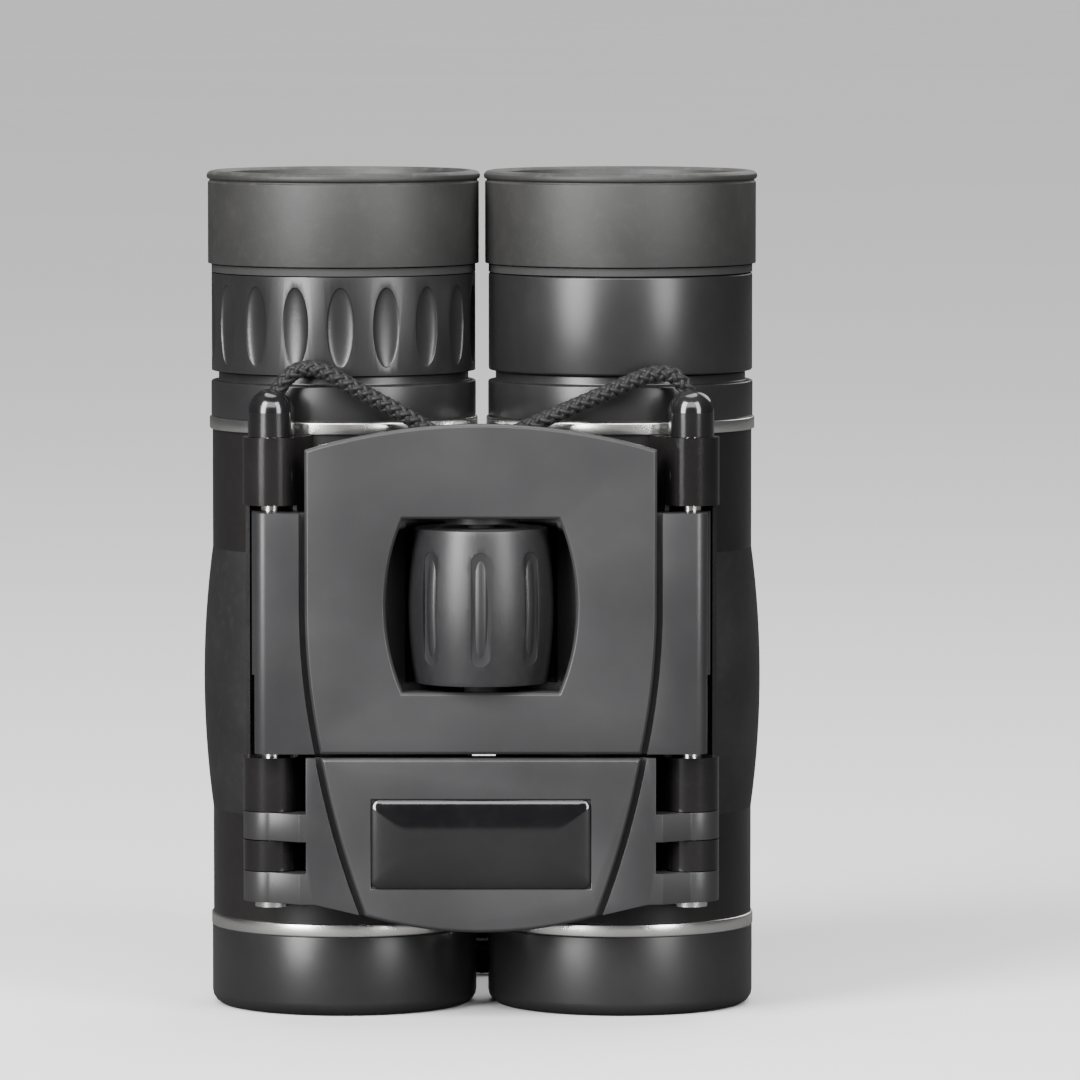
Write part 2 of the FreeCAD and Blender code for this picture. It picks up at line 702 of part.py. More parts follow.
def grip_pad(side):
    """The crescent-shaped rubber grip on the barrel's outer flank."""
    body = new_body(f"{side}_grip_pad", barrel_at(side))
    feature = body.newObject("PartDesign::Revolution", body.Label + "_turned")
    inner = "barrel_radius - pad_depth + seat_gap"
    feature.Profile = outline(body, "XZ_Plane", pad_profile(side, inner))
    feature.ReferenceAxis = (origin_feature(body, "Z_Axis"), [""])
    feature.setExpression("Angle", formula("pad_angle - seat_gap"))
    feature.Midplane = True


def objective_ring(side):
    body = new_body(f"{side}_objective_ring", barrel_at(side))
    turned(
        body,
        [
            ("objective_mouth", "0"),
            ("objective_ring_radius", "0"),
            ("objective_ring_radius", "objective_ring_height"),
            ("seat_radius", "objective_ring_height"),
            ("seat_radius", "objective_lip"),
            ("objective_mouth + objective_lip / 2", "objective_lip"),
        ],
    )
    foot = edge_at("z", "0")
    outer = number("objective_ring_radius")
    softened(
        body,
        "Fillet",
        "objective_ring_round",
        lambda e: foot(e) and abs(e.BoundBox.XLength / 2 - outer) < NEAR,
    )


def trim_ring(side, place, radius, low, top):
    body = new_body(f"{side}_{place}_trim_ring", barrel_at(side))
    turned(body, ring_outline("seat_radius", radius, low, top))


def collar(side):
    """The top of the barrel: it closes the prism housing and guides the eyepiece tube."""
    body = new_body(f"{side}_collar", barrel_at(side))
    guide = "eyepiece_radius + running_gap"
    seat_top = "body_top + spigot_head + seat_gap"
    turned(
        body,
        [
            (guide, seat_top),
            ("seat_radius", seat_top),
            ("seat_radius", "upper_trim_top"),
            ("collar_radius", "upper_trim_top"),
            ("collar_radius", "collar_top"),
            ("neck_radius", "collar_top"),
            ("neck_radius", "dial_bottom"),
            (guide, "dial_bottom"),
        ],
    )


def prism_cage(side):
    """The carrier of both prisms, with a flat beside the cell's drive arm."""
    body = new_body(f"{side}_prism_cage", barrel_at(side))
    turned(body, ring_outline("0", "cage_radius", "cage_low", "cage_top"))
    slack = "prism_half_width + running_gap"
    front = "-(penta_heel + prism_gap * sqrt(2) + running_gap)"
    block(
        body,
        (f"-({slack})", front, "cage_low + cage_floor"),
        (slack, "prism_back + running_gap", "cage_top - cage_floor"),
        cut=True,
    )
    rod(body, "0", "0", "cage_low - end_gap", "cage_top + end_gap", "cage_aperture", cut=True)
    flat = hinge_line_box(side, "arm_inner - end_gap", "cage_radius + end_gap", "cage_radius")
    sunk(body, flat, "cage_low - end_gap", "cage_top + end_gap")


def prism(side, name, corners):
    body = new_body(f"{side}_{name}", barrel_at(side))
    raised(body, corners, "-prism_half_width", "prism_half_width", role="YZ_Plane")


def prisms(side):
    """The half-penta prism, and the roof prism across an air gap from it."""
    prism_top = "prism_low + prism_side"
    heel = "penta_entrance - penta_heel"
    shoulder = f"prism_low + (prism_back - ({heel})) * (1 + sqrt(2))"
    half_penta = [
        ("-penta_heel", "prism_low"),
        (heel, "prism_low"),
        ("prism_back", shoulder),
        ("prism_back", prism_top),
    ]
    apex = "prism_back - prism_gap * sqrt(2)"
    roof = [
        (f"{apex} - prism_side / sqrt(2)", f"{prism_top} - prism_side / sqrt(2)"),
        (apex, prism_top),
        (f"{apex} - prism_side", prism_top),
    ]
    prism(side, "half_penta_prism", half_penta)
    prism(side, "roof_prism", roof)


def lens(label, side, radius, clear, middle):
    """A lens with two curved faces inside a flat seat, turned about the barrel axis."""
    body = new_body(label, barrel_at(side))
    curve = arc_over(clear, "lens_rise")
    edge_low = f"{middle} - lens_edge / 2"
    edge_top = f"{middle} + lens_edge / 2"
    turned(
        body,
        [
            ("0", f"{edge_low} - lens_rise", curve, -1),
            (clear, edge_low),
            (radius, edge_low),
            (radius, edge_top),
            (clear, edge_top, curve, -1),
            ("0", f"{edge_top} + lens_rise"),
        ],
    )


def objective(side):
    """The sliding cell with its lens, retaining ring and the fork that the yoke drives."""
    cell = new_body(f"{side}_objective_cell", barrel_at(side))
    bore = "cell_radius - cell_wall"
    cell_top = "cell_bottom + cell_height"
    seat = "cell_bottom + cell_wall + lens_edge"
    stop = "cell_clear - stop_ledge"
    turned(
        cell,
        [
            (bore, "cell_bottom"),
            ("cell_radius", "cell_bottom"),
            ("cell_radius", cell_top),
            (bore, cell_top),
            (bore, f"{seat} + cell_wall"),
            (stop, f"{seat} + cell_wall"),
            (stop, seat),
            (bore, seat),
        ],
    )
    arm = hinge_line_box(side, "arm_inner", "arm_outer", "arm_half_width")
    raised(cell, arm, f"{cell_top} - cell_wall", "fork_top")
    root = hinge_line_box(side, f"{bore} + running_gap", "arm_outer", "arm_half_width")
    raised(cell, root, f"{cell_top} - cell_wall", cell_top)
    x, y = hinge_at(side)
    ear = hinge_line_box(side, "arm_inner", "hinge_span", "eye_radius - end_gap")
    for low, top in (("fork_low", "yoke_low - end_gap"), ("yoke_top + end_gap", "fork_top")):
        raised(cell, ear, low, top)
        rod(cell, x, y, low, top, "eye_radius")
    bore_radius = "rod_radius + running_gap"
    rod(cell, x, y, "fork_low - end_gap", "fork_top + end_gap", bore_radius, cut=True)
    middle = f"{seat} - lens_edge / 2 - seat_gap"
    lens(f"{side}_objective_lens", side, f"{bore} - seat_gap", f"{stop} - seat_gap", middle)
    retainer = new_body(f"{side}_objective_retainer", barrel_at(side))
    ring_top = "cell_bottom + cell_wall - 2 * seat_gap"
    turned(retainer, ring_outline("cell_clear", f"{bore} - seat_gap", "cell_bottom", ring_top))


def eyepiece(side):
    """The eyepiece tube with its lenses, its band and the rubber eyecup on its flange."""
    tube = new_body(f"{side}_eyepiece_tube", barrel_at(side))
    inside = "tube_radius_inside"
    tube_low = "body_top - eyepiece_insert"
    flange_top = "cup_bottom + flange_height"
    stop = "tube_radius_inside - eyepiece_wall"
    lens_seat = f"{tube_low} + eyepiece_wall"
    eye_seat = f"{flange_top} - eyepiece_wall"
    turned(
        tube,
        [
            (stop, tube_low),
            ("eyepiece_radius", tube_low),
            ("eyepiece_radius", "band_low"),
            ("dial_radius", "band_low"),
            ("dial_radius", "band_top"),
            ("flange_radius", "band_top"),
            ("flange_radius", flange_top),
            (stop, flange_top),
            (stop, eye_seat),
            (inside, eye_seat),
            (inside, lens_seat),
            (stop, lens_seat),
        ],
    )
    radius = f"{inside} - seat_gap"
    field_middle = f"{lens_seat} + lens_edge / 2 + seat_gap"
    eye_middle = f"{eye_seat} - lens_edge / 2 - seat_gap"
    for name, middle in (("field_lens", field_middle), ("eye_lens", eye_middle)):
        lens(f"{side}_{name}", side, radius, f"{stop} - seat_gap", middle)
    cup = new_body(f"{side}_eyecup", barrel_at(side))
    flange_seat = "flange_radius + seat_gap"
    floor_low = f"{flange_top} + seat_gap"
    floor_top = f"{floor_low} + cup_floor"
    lip_low = "cup_top - cup_lip_height"
    turned(
        cup,
        [
            (flange_seat, "cup_bottom"),
            ("cup_radius", "cup_bottom"),
            ("cup_radius", lip_low),
            ("cup_radius + cup_lip", f"{lip_low} + cup_lip"),
            ("cup_radius + cup_lip", "cup_top"),
            ("cup_radius - cup_wall", "cup_top"),
            ("eyepiece_radius", floor_top),
            (stop, floor_top),
            (stop, floor_low),
            (flange_seat, floor_low),
        ],
    )


def ocular_rings():
    """The turning dioptre ring on the right, and the plain ring that matches it on the left.

    Their skirts reach over the collar's neck, so that the dioptre ring can rise and sink as it turns.
    """
    guide = "eyepiece_radius + running_gap"
    skirt = "neck_radius + running_gap"
    low = "dial_bottom + end_gap / 2"
    ring = [
        (guide, f"{low} + dial_skirt"),
        (skirt, f"{low} + dial_skirt"),
        (skirt, low),
        ("dial_radius", low),
        ("dial_radius", "dial_top"),
        (guide, "dial_top"),
    ]
    plain = new_body("left_ocular_ring", barrel_at("left"))
    turned(plain, ring)
    dial = new_body("right_diopter_ring", barrel_at("right"))
    turned(dial, ring)
    before = solid_volume(dial)
    dimple = dial.newObject("PartDesign::SubtractiveEllipsoid", "right_diopter_ring_dimple")
    sagitta = "(dial_radius - sqrt(dial_radius ^ 2 - (dimple_width / 2) ^ 2))"
    depth = f"(dimple_depth + {sagitta})"
    dimple.Placement.Rotation = FreeCAD.Rotation(FreeCAD.Vector(0, 0, 1), -90)
    dimple.setExpression("Placement.Base.y", formula("-dial_radius"))
    dimple.setExpression("Placement.Base.z", formula("(dial_bottom + dial_top) / 2 - end_gap"))
    dimple.setExpression("Radius1", formula("dimple_height / 2"))
    dimple.setExpression("Radius2", formula(depth))
    dimple.setExpression("Radius3", formula("dimple_width / 2"))
    dimple.Angle3 = 360
    must_cut(dial, before)
    repeated_round(dial, dimple, "dimple_count")


# ---------------------------------------------------------------- bridge


def upper_plate_outline(grow="0", low="plate_low"):
    narrowing = "(plate_edge - waist_half_width)"
    side_radius = f"((waist_height ^ 2 + {narrowing} ^ 2) / (2 * {narrowing}))"
    edge = f"plate_edge + {grow}"
    right_half = [
        (f"waist_half_width + {grow}", low, side_radius, -1),
        (edge, "waist_level"),
        (edge, "shoulder_level", arc_over(f"({edge})", "plate_crown"), -1),
    ]
    return mirrored_outline(right_half)


def lower_plate_outline(grow="0"):
    foot_arc = (arc_over(f"(chin_half_width + {grow})", "chin_drop"), -1)
    right_half = [
        (f"chin_half_width + {grow}", "chin_level", "chin_side_radius", -1),
        (f"waist_half_width + {grow}", "lower_plate_top"),
    ]
    return mirrored_outline(right_half, foot_arc)


FRONT = "XZ_Plane"


def both_sides(build):
    for sign in SIDES.values():
        build(sign)


def spaced(sign, near, far):
    """Two distances across on one side, in rising order."""
    return sorted((f"{sign} * ({near})", f"{sign} * ({far})"), key=number)


def upper_bridge_frame():
    body = new_body("upper_bridge_frame")
    raised(
        body,
        box_outline("-strip_outer", "strip_outer", "plate_low", "strip_top"),
        "skin_reach",
        "side_reach",
        role=FRONT,
    )
    in_front = edge_at("y", "-side_reach")
    on_right = edge_at("x", "-strip_outer")
    on_left = edge_at("x", "strip_outer")
    softened(
        body,
        "Fillet",
        "strip_round",
        lambda e: in_front(e) and (on_right(e) or on_left(e)),
    )
    back = "plate_edge - seat_gap"
    raised(
        body,
        box_outline(f"-({back})", back, "strip_top - cap_radius", "shoulder_level - side_step"),
        "skin_reach",
        "frame_reach",
        role=FRONT,
    )
    bed = upper_plate_outline("plate_inset", "plate_low")
    sunk(body, bed, "frame_reach", "plate_reach", role=FRONT)
    behind_skin = "-(skin_reach - sweep_gap)"
    block(
        body,
        ("-wheel_room", "-plate_reach", "window_low"),
        ("wheel_room", behind_skin, "window_top"),
        cut=True,
    )
    boss_room = "yoke_boss_radius + sweep_gap"
    block(
        body,
        (f"-({boss_room})", "-plate_reach", "lower_bearing_top"),
        (boss_room, behind_skin, "window_low + end_gap"),
        cut=True,
    )
    bearings = (
        ("lower_bearing_low", "lower_bearing_top"),
        ("upper_bearing_low", "upper_bearing_top"),
    )
    for low, top in bearings:
        rod(body, "0", "-wheel_reach", low, top, "bearing_radius")
        rod(body, "0", "-wheel_reach", low, top, "bush_radius + seat_gap", cut=True)

    def carry_rod(sign):
        hinge = f"{sign} * hinge_x"
        near, far = spaced(sign, "hinge_x - rod_radius - seat_gap", "hinge_x + rod_radius + seat_gap")
        neck_front = "-(skin_reach + seat_gap)"
        block(body, (near, neck_front, "arm_slot_top"), (far, "-hinge_reach", "strip_top"))
        rod(body, hinge, "-hinge_reach", "arm_slot_top", "strip_top", "lug_radius")
        hole = "rod_radius + seat_gap"
        rod(body, hinge, "-hinge_reach", "arm_slot_top", "strip_top", hole, cut=True)
        rail = spaced(sign, "rear_half_width - rail_width", "rear_half_width - end_gap")
        rail_back = rear_face("rear_half_width - rail_width", "rear_radius + rear_wall + end_gap")
        block(
            body,
            (rail[0], "-(skin_reach + seat_gap)", "arm_slot_top"),
            (rail[1], rail_back, "upper_bearing_top"),
        )

    both_sides(carry_rod)
    screw_holes(body, "upper", "skin_reach - end_gap", "frame_reach + end_gap")


def lower_bridge_frame():
    body = new_body("lower_bridge_frame")
    foot_arc = (arc_over("chin_half_width", "chin_drop"), -1)
    right_half = [
        ("chin_half_width", "chin_level"),
        ("panel_edge", "lower_trim_top + panel_foot"),
        ("panel_edge", "lower_plate_top"),
    ]
    whole = mirrored_outline(right_half, foot_arc)
    raised(body, whole, "skin_reach", "side_reach", role=FRONT)
    bed = lower_plate_outline("plate_inset")
    sunk(body, bed, "frame_reach", "plate_reach", role=FRONT)
    fingers = (
        ("finger_two_low", "knuckle_two_low"),
        ("finger_one_low", "knuckle_one_low"),
    )

    def carry_rod(sign):
        hinge = f"{sign} * hinge_x"
        section = [
            (f"{sign} * (panel_edge - rail_width)", "-side_reach"),
            (f"{sign} * strip_edge", "-side_reach"),
            (hinge, "-(hinge_reach + knuckle_radius)"),
            (hinge, "-hinge_reach"),
            (f"{sign} * (panel_edge - rail_width)", "-skin_reach"),
        ]
        for low, top in fingers:
            raised(body, section, low, top)
            rod(body, hinge, "-hinge_reach", low, top, "knuckle_radius")
        hole = "rod_radius + seat_gap"
        rod(body, hinge, "-hinge_reach", "finger_two_low", "knuckle_one_low", hole, cut=True)

    both_sides(carry_rod)
    screw_holes(body, "lower", "skin_reach - end_gap", "frame_reach + end_gap")


SCREW_PLACES = {
    "upper": (
        ("plate_edge - 4 * cover_screw_head", "shoulder_level - 3 * cover_screw_head"),
        ("plate_edge - 4 * cover_screw_head", "plate_low + 6 * cover_screw_head"),
    ),
    "lower": (("chin_half_width - cover_screw_head", "lower_plate_top - 2 * cover_screw_head"),),
}


def screw_spots(place):
    return [(f"{sign} * ({x})", z) for sign in SIDES.values() for x, z in SCREW_PLACES[place]]


def screw_holes(body, place, back, front):
    for x, z in screw_spots(place):
        rod(body, x, z, f"-({front})", f"-({back})", "cover_screw_radius + seat_gap", True, "Y")


def cover_screws():
    """All the screws that hold the cover plates, put in from behind."""
    body = new_body("cover_screws")
    tip = "-(frame_reach + plate_thickness / 2)"
    for place in SCREW_PLACES:
        for x, z in screw_spots(place):
            rod(body, x, z, tip, "-skin_reach", "cover_screw_radius", along="Y")
            head_back = "-skin_reach + cover_screw_radius"
            rod(body, x, z, "-skin_reach", head_back, "cover_screw_head", along="Y")


def front_edges(reach):
    """A test for the edges of a plate's front face."""
    return edge_at("y", f"-({reach})")


def upper_cover_plate():
    body = new_body("upper_cover_plate")
    raised(body, upper_plate_outline(), "frame_reach", "plate_reach", role=FRONT)
    bow = arc_over("window_height / 2", "window_bulge")
    window = mirrored_outline(
        [("window_half_width", "window_low", bow, -1), ("window_half_width", "window_top")]
    )
    sunk(body, window, "frame_reach - end_gap", "plate_reach", role=FRONT)
    screw_holes(body, "upper", "frame_reach - end_gap", "frame_reach + plate_thickness / 2")
    softened(body, "Chamfer", "plate_round", front_edges("plate_reach"))


def lower_cover_plate():
    body = new_body("lower_cover_plate")
    raised(body, lower_plate_outline(), "frame_reach", "plate_reach", role=FRONT)
    softened(body, "Chamfer", "plate_round", front_edges("plate_reach"))
    room = "label_half_width + seat_gap"
    bed = box_outline(f"-({room})", room, "label_low - seat_gap", "label_low + label_height + seat_gap")
    sunk(body, bed, "plate_reach - label_recess", "plate_reach", role=FRONT)
    screw_holes(body, "lower", "frame_reach - end_gap", "frame_reach + plate_thickness / 2")


def label_plate():
    body = new_body("label_plate")
    face = box_outline(
        "-label_half_width", "label_half_width", "label_low", "label_low + label_height"
    )
    back = "plate_reach - label_recess + seat_gap"
    raised(body, face, back, f"{back} + label_thickness", role=FRONT)
    front = front_edges(f"{back} + label_thickness")
    softened(body, "Fillet", "label_round", front)


def rear_face(across, radius):
    """Where a cylinder round the left barrel's axis lies in front of the barrel axes."""
    return f"-sqrt(({radius}) ^ 2 - (({across}) - barrel_x) ^ 2)"


def rear_bridge_cover():
    """The bridge's back, hollowed to clear both folded barrels and open for the wheel."""
    body = new_body("rear_bridge_cover")
    inner = "rear_radius + rear_wall"
    edge = "rear_half_width"
    ridge = "ridge_half_width"
    right = [
        (edge, rear_face(edge, inner)),
        (edge, rear_face(edge, "rear_radius"), "rear_radius", 1),
        (ridge, rear_face(ridge, "rear_radius")),
    ]
    left = [
        (f"-({ridge})", rear_face(ridge, "rear_radius"), "rear_radius", 1),
        (f"-({edge})", rear_face(edge, "rear_radius")),
        (f"-({edge})", rear_face(edge, inner), inner, -1),
        (f"-({ridge})", rear_face(ridge, inner)),
        (ridge, rear_face(ridge, inner), inner, -1),
    ]
    raised(body, right + left, "lower_bearing_low", "upper_bearing_top")
    room = "wheel_radius + sweep_gap"
    block(
        body,
        (f"-({room})", "-skin_reach", "wheel_low - sweep_gap"),
        (room, "0", "wheel_top + sweep_gap"),
        cut=True,
    )


def hinge_rod(side):
    sign = SIDES[side]
    body = new_body(f"{side}_hinge_rod", f"{sign} * hinge_x", "axis_y - hinge_reach")
    turned(body, ring_outline("0", "rod_radius", "finger_two_low", "body_top + rod_in_cap"))


def strap_cap(side):
    """The domed cap on the rod's top, with the slanted hole that the strap's end is glued into."""
    sign = SIDES[side]
    body = new_body(f"{side}_strap_cap", f"{sign} * hinge_x", "axis_y - hinge_reach")
    low = "body_top + end_gap / 2"
    top = "body_top + cap_height"
    turned(
        body,
        [
            ("0", low),
            ("cap_radius", low),
            ("cap_radius", f"{top} - cap_radius", arc_over("cap_radius", "cap_radius"), -1),
            ("0", top),
        ],
    )
    rod(body, "0", "0", low, "body_top + rod_in_cap", "rod_radius + seat_gap", cut=True)
    strap_end, strap_corner = (FreeCAD.Vector(*p) for p in STRAPS[side][:2])
    along = strap_corner - strap_end
    before = solid_volume(body)
    hole = body.newObject("PartDesign::SubtractiveCylinder", f"{side}_strap_cap_hole")
    hole.Placement.Rotation = FreeCAD.Rotation(FreeCAD.Vector(0, 0, 1), along)
    hole.setExpression("Placement.Base.x", formula(f"{sign} * strap_end_out"))
    hole.setExpression("Placement.Base.y", formula("strap_end_back"))
    hole.setExpression("Placement.Base.z", formula("body_top + strap_end_rise"))
    hole.setExpression("Radius", formula("cord_radius + seat_gap"))
    hole.Height = along.Length
    must_cut(body, before)


def rod_end_screws():
    """The screw heads that close the lower ends of both hinge rods."""
    body = new_body("rod_end_screws")
    for sign in SIDES.values():
        low = "finger_two_low - screw_head_height"
        x = f"{sign} * hinge_x"
        rod(body, x, "-hinge_reach", low, "finger_two_low", "screw_head_radius")


def wheel_bushes():
    body = new_body("wheel_bushes", y="axis_y - wheel_reach")
    for low, top in (
        ("lower_bearing_low", "lower_bearing_top"),
        ("upper_bearing_low", "upper_bearing_top"),
    ):
        rod(body, "0", "0", low, top, "bush_radius")
    hole = "spindle_radius + running_gap"
    rod(body, "0", "0", "lower_bearing_low", "upper_bearing_top", hole, cut=True)


# ---------------------------------------------------------------- focusing


def focus_wheel():
    """The crowned rubber wheel on its hub, and the threaded spindle that it turns."""
    place = {"y": "axis_y - wheel_reach"}
    tyre = new_body("focus_wheel_tyre", **place)
    inner = "hub_radius + seat_gap"
    end_radius = "wheel_radius - wheel_crown"
    turned(
        tyre,
        [
            (inner, "wheel_low"),
            (end_radius, "wheel_low", arc_over("wheel_height / 2", "wheel_crown"), -1),
            (end_radius, "wheel_top"),
            (inner, "wheel_top"),
        ],
    )
    middle = "(wheel_low + wheel_top) / 2"
    half_slot = "slot_height / 2 - slot_width / 2"
    bow = f"slot_width / 2 * {HALF_CIRCLE_SLACK}"
    slot_corners = [
        ("slot_width / 2", f"{middle} - ({half_slot})"),
        ("slot_width / 2", f"{middle} + {half_slot}", bow, -1),
        ("-slot_width / 2", f"{middle} + {half_slot}"),
        ("-slot_width / 2", f"{middle} - ({half_slot})", bow, -1),
    ]
    before = solid_volume(tyre)
    slot = tyre.newObject("PartDesign::Pocket", "focus_wheel_tyre_slot")
    slot.Profile = outline(tyre, FRONT, slot_corners, "wheel_radius")
    slot.setExpression("Length", formula("slot_depth"))
    must_cut(tyre, before)
    repeated_round(tyre, slot, "slot_count")
    hub = new_body("focus_wheel_hub", **place)
    turned(hub, ring_outline("spindle_radius + seat_gap", "hub_radius", "wheel_low", "wheel_top"))
    screw = new_body("focus_screw", **place)
    turned(
        screw,
        [
            ("0", "lower_bearing_low"),
            ("spindle_radius", "lower_bearing_low"),
            ("spindle_radius", "lower_bearing_top + end_gap"),
            ("thread_radius", "lower_bearing_top + end_gap"),
            ("thread_radius", "wheel_low - end_gap"),
            ("spindle_radius", "wheel_low - end_gap"),
            ("spindle_radius", "upper_bearing_top"),
            ("0", "upper_bearing_top"),
        ],
    )


def focus_yoke():
    """The slide that carries the nut's travel to the eyes on both hinge rods."""
    body = new_body("focus_yoke")
    half = "hinge_x"
    bar = box_outline(f"-({half})", half, "-yoke_front", "-yoke_back")
    raised(body, bar, "yoke_low", "yoke_top")
    rod(body, "0", "-wheel_reach", "yoke_low", "yoke_top", "yoke_boss_radius")
    for sign in SIDES.values():
        x = f"{sign} * hinge_x"
        rod(body, x, "-hinge_reach", "yoke_low", "yoke_top", "eye_radius")
        rod(body, x, "-hinge_reach", "yoke_low", "yoke_top", "rod_radius + running_gap", cut=True)
    rod(body, "0", "-wheel_reach", "yoke_low", "yoke_top", "nut_radius + seat_gap", cut=True)
    nut = new_body("focus_nut", y="axis_y - wheel_reach")
    turned(nut, ring_outline("thread_radius + running_gap", "nut_radius", "yoke_low", "yoke_top"))


# ---------------------------------------------------------------- strap

def strap_path(points):
    """Straight runs joined by tangent arcs, each as large as its two runs allow."""
    spots = [FreeCAD.Vector(*p) for p in points]
    edges = []
    radii = []
    last_end = spots[0]
    for before, corner, after in zip(spots, spots[1:], spots[2:]):
        back = (before - corner).normalize()
        ahead = (after - corner).normalize()
        reach = ARC_SHARE * min((before - corner).Length, (after - corner).Length)
        turn = math.pi - back.getAngle(ahead)
        radii.append(reach / math.tan(turn / 2))
        start = corner + back * reach
        end = corner + ahead * reach
        inward = (back + ahead).normalize()
        middle_reach = radii[-1] / math.cos(turn / 2) - radii[-1]
        edges.append(Part.LineSegment(last_end, start).toShape())
        edges.append(Part.Arc(start, corner + inward * middle_reach, end).toShape())
        last_end = end
    edges.append(Part.LineSegment(last_end, spots[-1]).toShape())
    return Part.Wire(edges), radii


def strap_run(label, points):
    """The strap's plain round tube along one hand-chosen route."""
    path, radii = strap_path(points)
    radius = number("cord_radius")
    first = FreeCAD.Vector(*points[0])
    heading = FreeCAD.Vector(*points[1]) - first
    section = Part.Wire(Part.Circle(first, heading, radius).toShape())
    run = doc.addObject("Part::Feature", label)
    run.Label = label
    run.Shape = path.makePipe(Part.Face(section))
    run.Placement = FreeCAD.Placement()
    PARTS[label] = run
    expected = math.pi * radius ** 2 * path.Length
    if abs(run.Shape.Volume - expected) > VOLUME_SHARE * expected:
        raise RuntimeError(f"{label} has the wrong volume")
    listed = ", ".join(f"{r:.1f}" for r in radii)
    print(f"{label}: {path.Length:.1f} mm long, arc radii {listed}")


def strap_coil():
    """The coiled rest of the strap, as one closed ring of its outer shape, and its tie."""
    coil = doc.addObject("Part::Feature", "strap_coil")
    outer = Part.makeCylinder(COIL_TURN_RADIUS + COIL_WIDTH / 2, COIL_HEIGHT, COIL_CENTRE)
    inner = Part.makeCylinder(COIL_TURN_RADIUS - COIL_WIDTH / 2, COIL_HEIGHT, COIL_CENTRE)
    coil.Shape = outer.cut(inner)
    tie_band = doc.addObject("Part::Feature", "strap_tie")
    inside = (COIL_WIDTH + 2 * TIE_ROOM, COIL_HEIGHT + TIE_ROOM - TIE_THICKNESS)
    corner = COIL_CENTRE + FreeCAD.Vector(
        -TIE_WIDTH / 2, COIL_TURN_RADIUS - inside[0] / 2 - TIE_THICKNESS, 0
    )
    hull = Part.makeBox(
        TIE_WIDTH, inside[0] + 2 * TIE_THICKNESS, inside[1] + 2 * TIE_THICKNESS, corner
    )
    hollow_corner = corner + FreeCAD.Vector(0, TIE_THICKNESS, TIE_THICKNESS)
    tie_band.Shape = hull.cut(Part.makeBox(TIE_WIDTH, inside[0], inside[1], hollow_corner))
    for feature in (coil, tie_band):
        feature.Label = feature.Name
        feature.Placement = FreeCAD.Placement()
        PARTS[feature.Label] = feature


# ---------------------------------------------------------------- assembly

for side in SIDES:
    barrel_shell(side)
    grip_pad(side)
    objective_ring(side)
    trim_ring(side, "lower", "lower_trim_radius", "objective_ring_height", "lower_trim_top")
    trim_ring(side, "upper", "upper_trim_radius", "body_top", "upper_trim_top")
    collar(side)
    prism_cage(side)
    prisms(side)
    objective(side)
    eyepiece(side)
    hinge_rod(side)
    strap_cap(side)
    strap_run(f"{side}_strap_run", STRAPS[side])
ocular_rings()
upper_bridge_frame()
lower_bridge_frame()
upper_cover_plate()
lower_cover_plate()
label_plate()
rear_bridge_cover()
rod_end_screws()
cover_screws()
wheel_bushes()
focus_wheel()
focus_yoke()
strap_coil()

doc.recompute()
for item in doc.Objects:
    if "Invalid" in item.State or "Error" in item.State:
        raise RuntimeError(f"{item.Name} failed: {item.State}")
os.makedirs("parts", exist_ok=True)
for label, item in PARTS.items():
    if item.Shape.isNull() or not item.Shape.isValid() or not item.Shape.Solids:
        raise RuntimeError(f"{label} has no valid shape")
    item.Shape.exportStep(f"parts/{label}.step")
print(f"{len(PARTS)} parts written")
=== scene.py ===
import json
import math

import bpy
import numpy as np
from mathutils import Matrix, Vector


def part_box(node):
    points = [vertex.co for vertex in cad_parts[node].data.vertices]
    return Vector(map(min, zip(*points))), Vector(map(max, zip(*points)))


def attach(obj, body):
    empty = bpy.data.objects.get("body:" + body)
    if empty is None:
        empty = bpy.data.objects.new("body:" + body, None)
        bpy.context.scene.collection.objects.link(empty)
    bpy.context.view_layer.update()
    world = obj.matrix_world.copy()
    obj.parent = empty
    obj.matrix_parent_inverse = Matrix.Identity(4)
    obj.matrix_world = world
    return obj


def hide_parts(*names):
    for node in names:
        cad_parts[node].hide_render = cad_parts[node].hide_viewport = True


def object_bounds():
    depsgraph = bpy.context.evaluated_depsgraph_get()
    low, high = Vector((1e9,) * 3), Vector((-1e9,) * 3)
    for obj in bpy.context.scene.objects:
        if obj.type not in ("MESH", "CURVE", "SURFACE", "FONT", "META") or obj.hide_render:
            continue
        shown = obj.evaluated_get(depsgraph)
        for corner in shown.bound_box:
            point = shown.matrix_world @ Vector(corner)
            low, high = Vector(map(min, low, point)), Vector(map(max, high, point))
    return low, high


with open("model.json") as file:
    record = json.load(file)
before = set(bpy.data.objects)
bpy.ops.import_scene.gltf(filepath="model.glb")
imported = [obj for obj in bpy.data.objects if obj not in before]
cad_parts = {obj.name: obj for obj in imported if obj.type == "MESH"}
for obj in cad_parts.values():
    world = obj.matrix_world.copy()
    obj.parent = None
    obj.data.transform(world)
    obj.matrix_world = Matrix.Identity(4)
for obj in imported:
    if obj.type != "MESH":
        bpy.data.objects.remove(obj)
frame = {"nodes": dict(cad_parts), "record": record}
cad_low, cad_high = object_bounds()

NODES = frame["nodes"]
SCENE = bpy.context.scene
MM = 0.001
SIDES = ("right", "left")


# ---------------------------------------------------------------- camera


CAMERA_PLACE = (0.0066, -0.97853, 0.12505)
CAMERA_PITCH = 4.2
SENSOR_WIDTH = 36
LENS_LENGTH = 288.33
CLIP_NEAR = 0.01
CLIP_FAR = 60


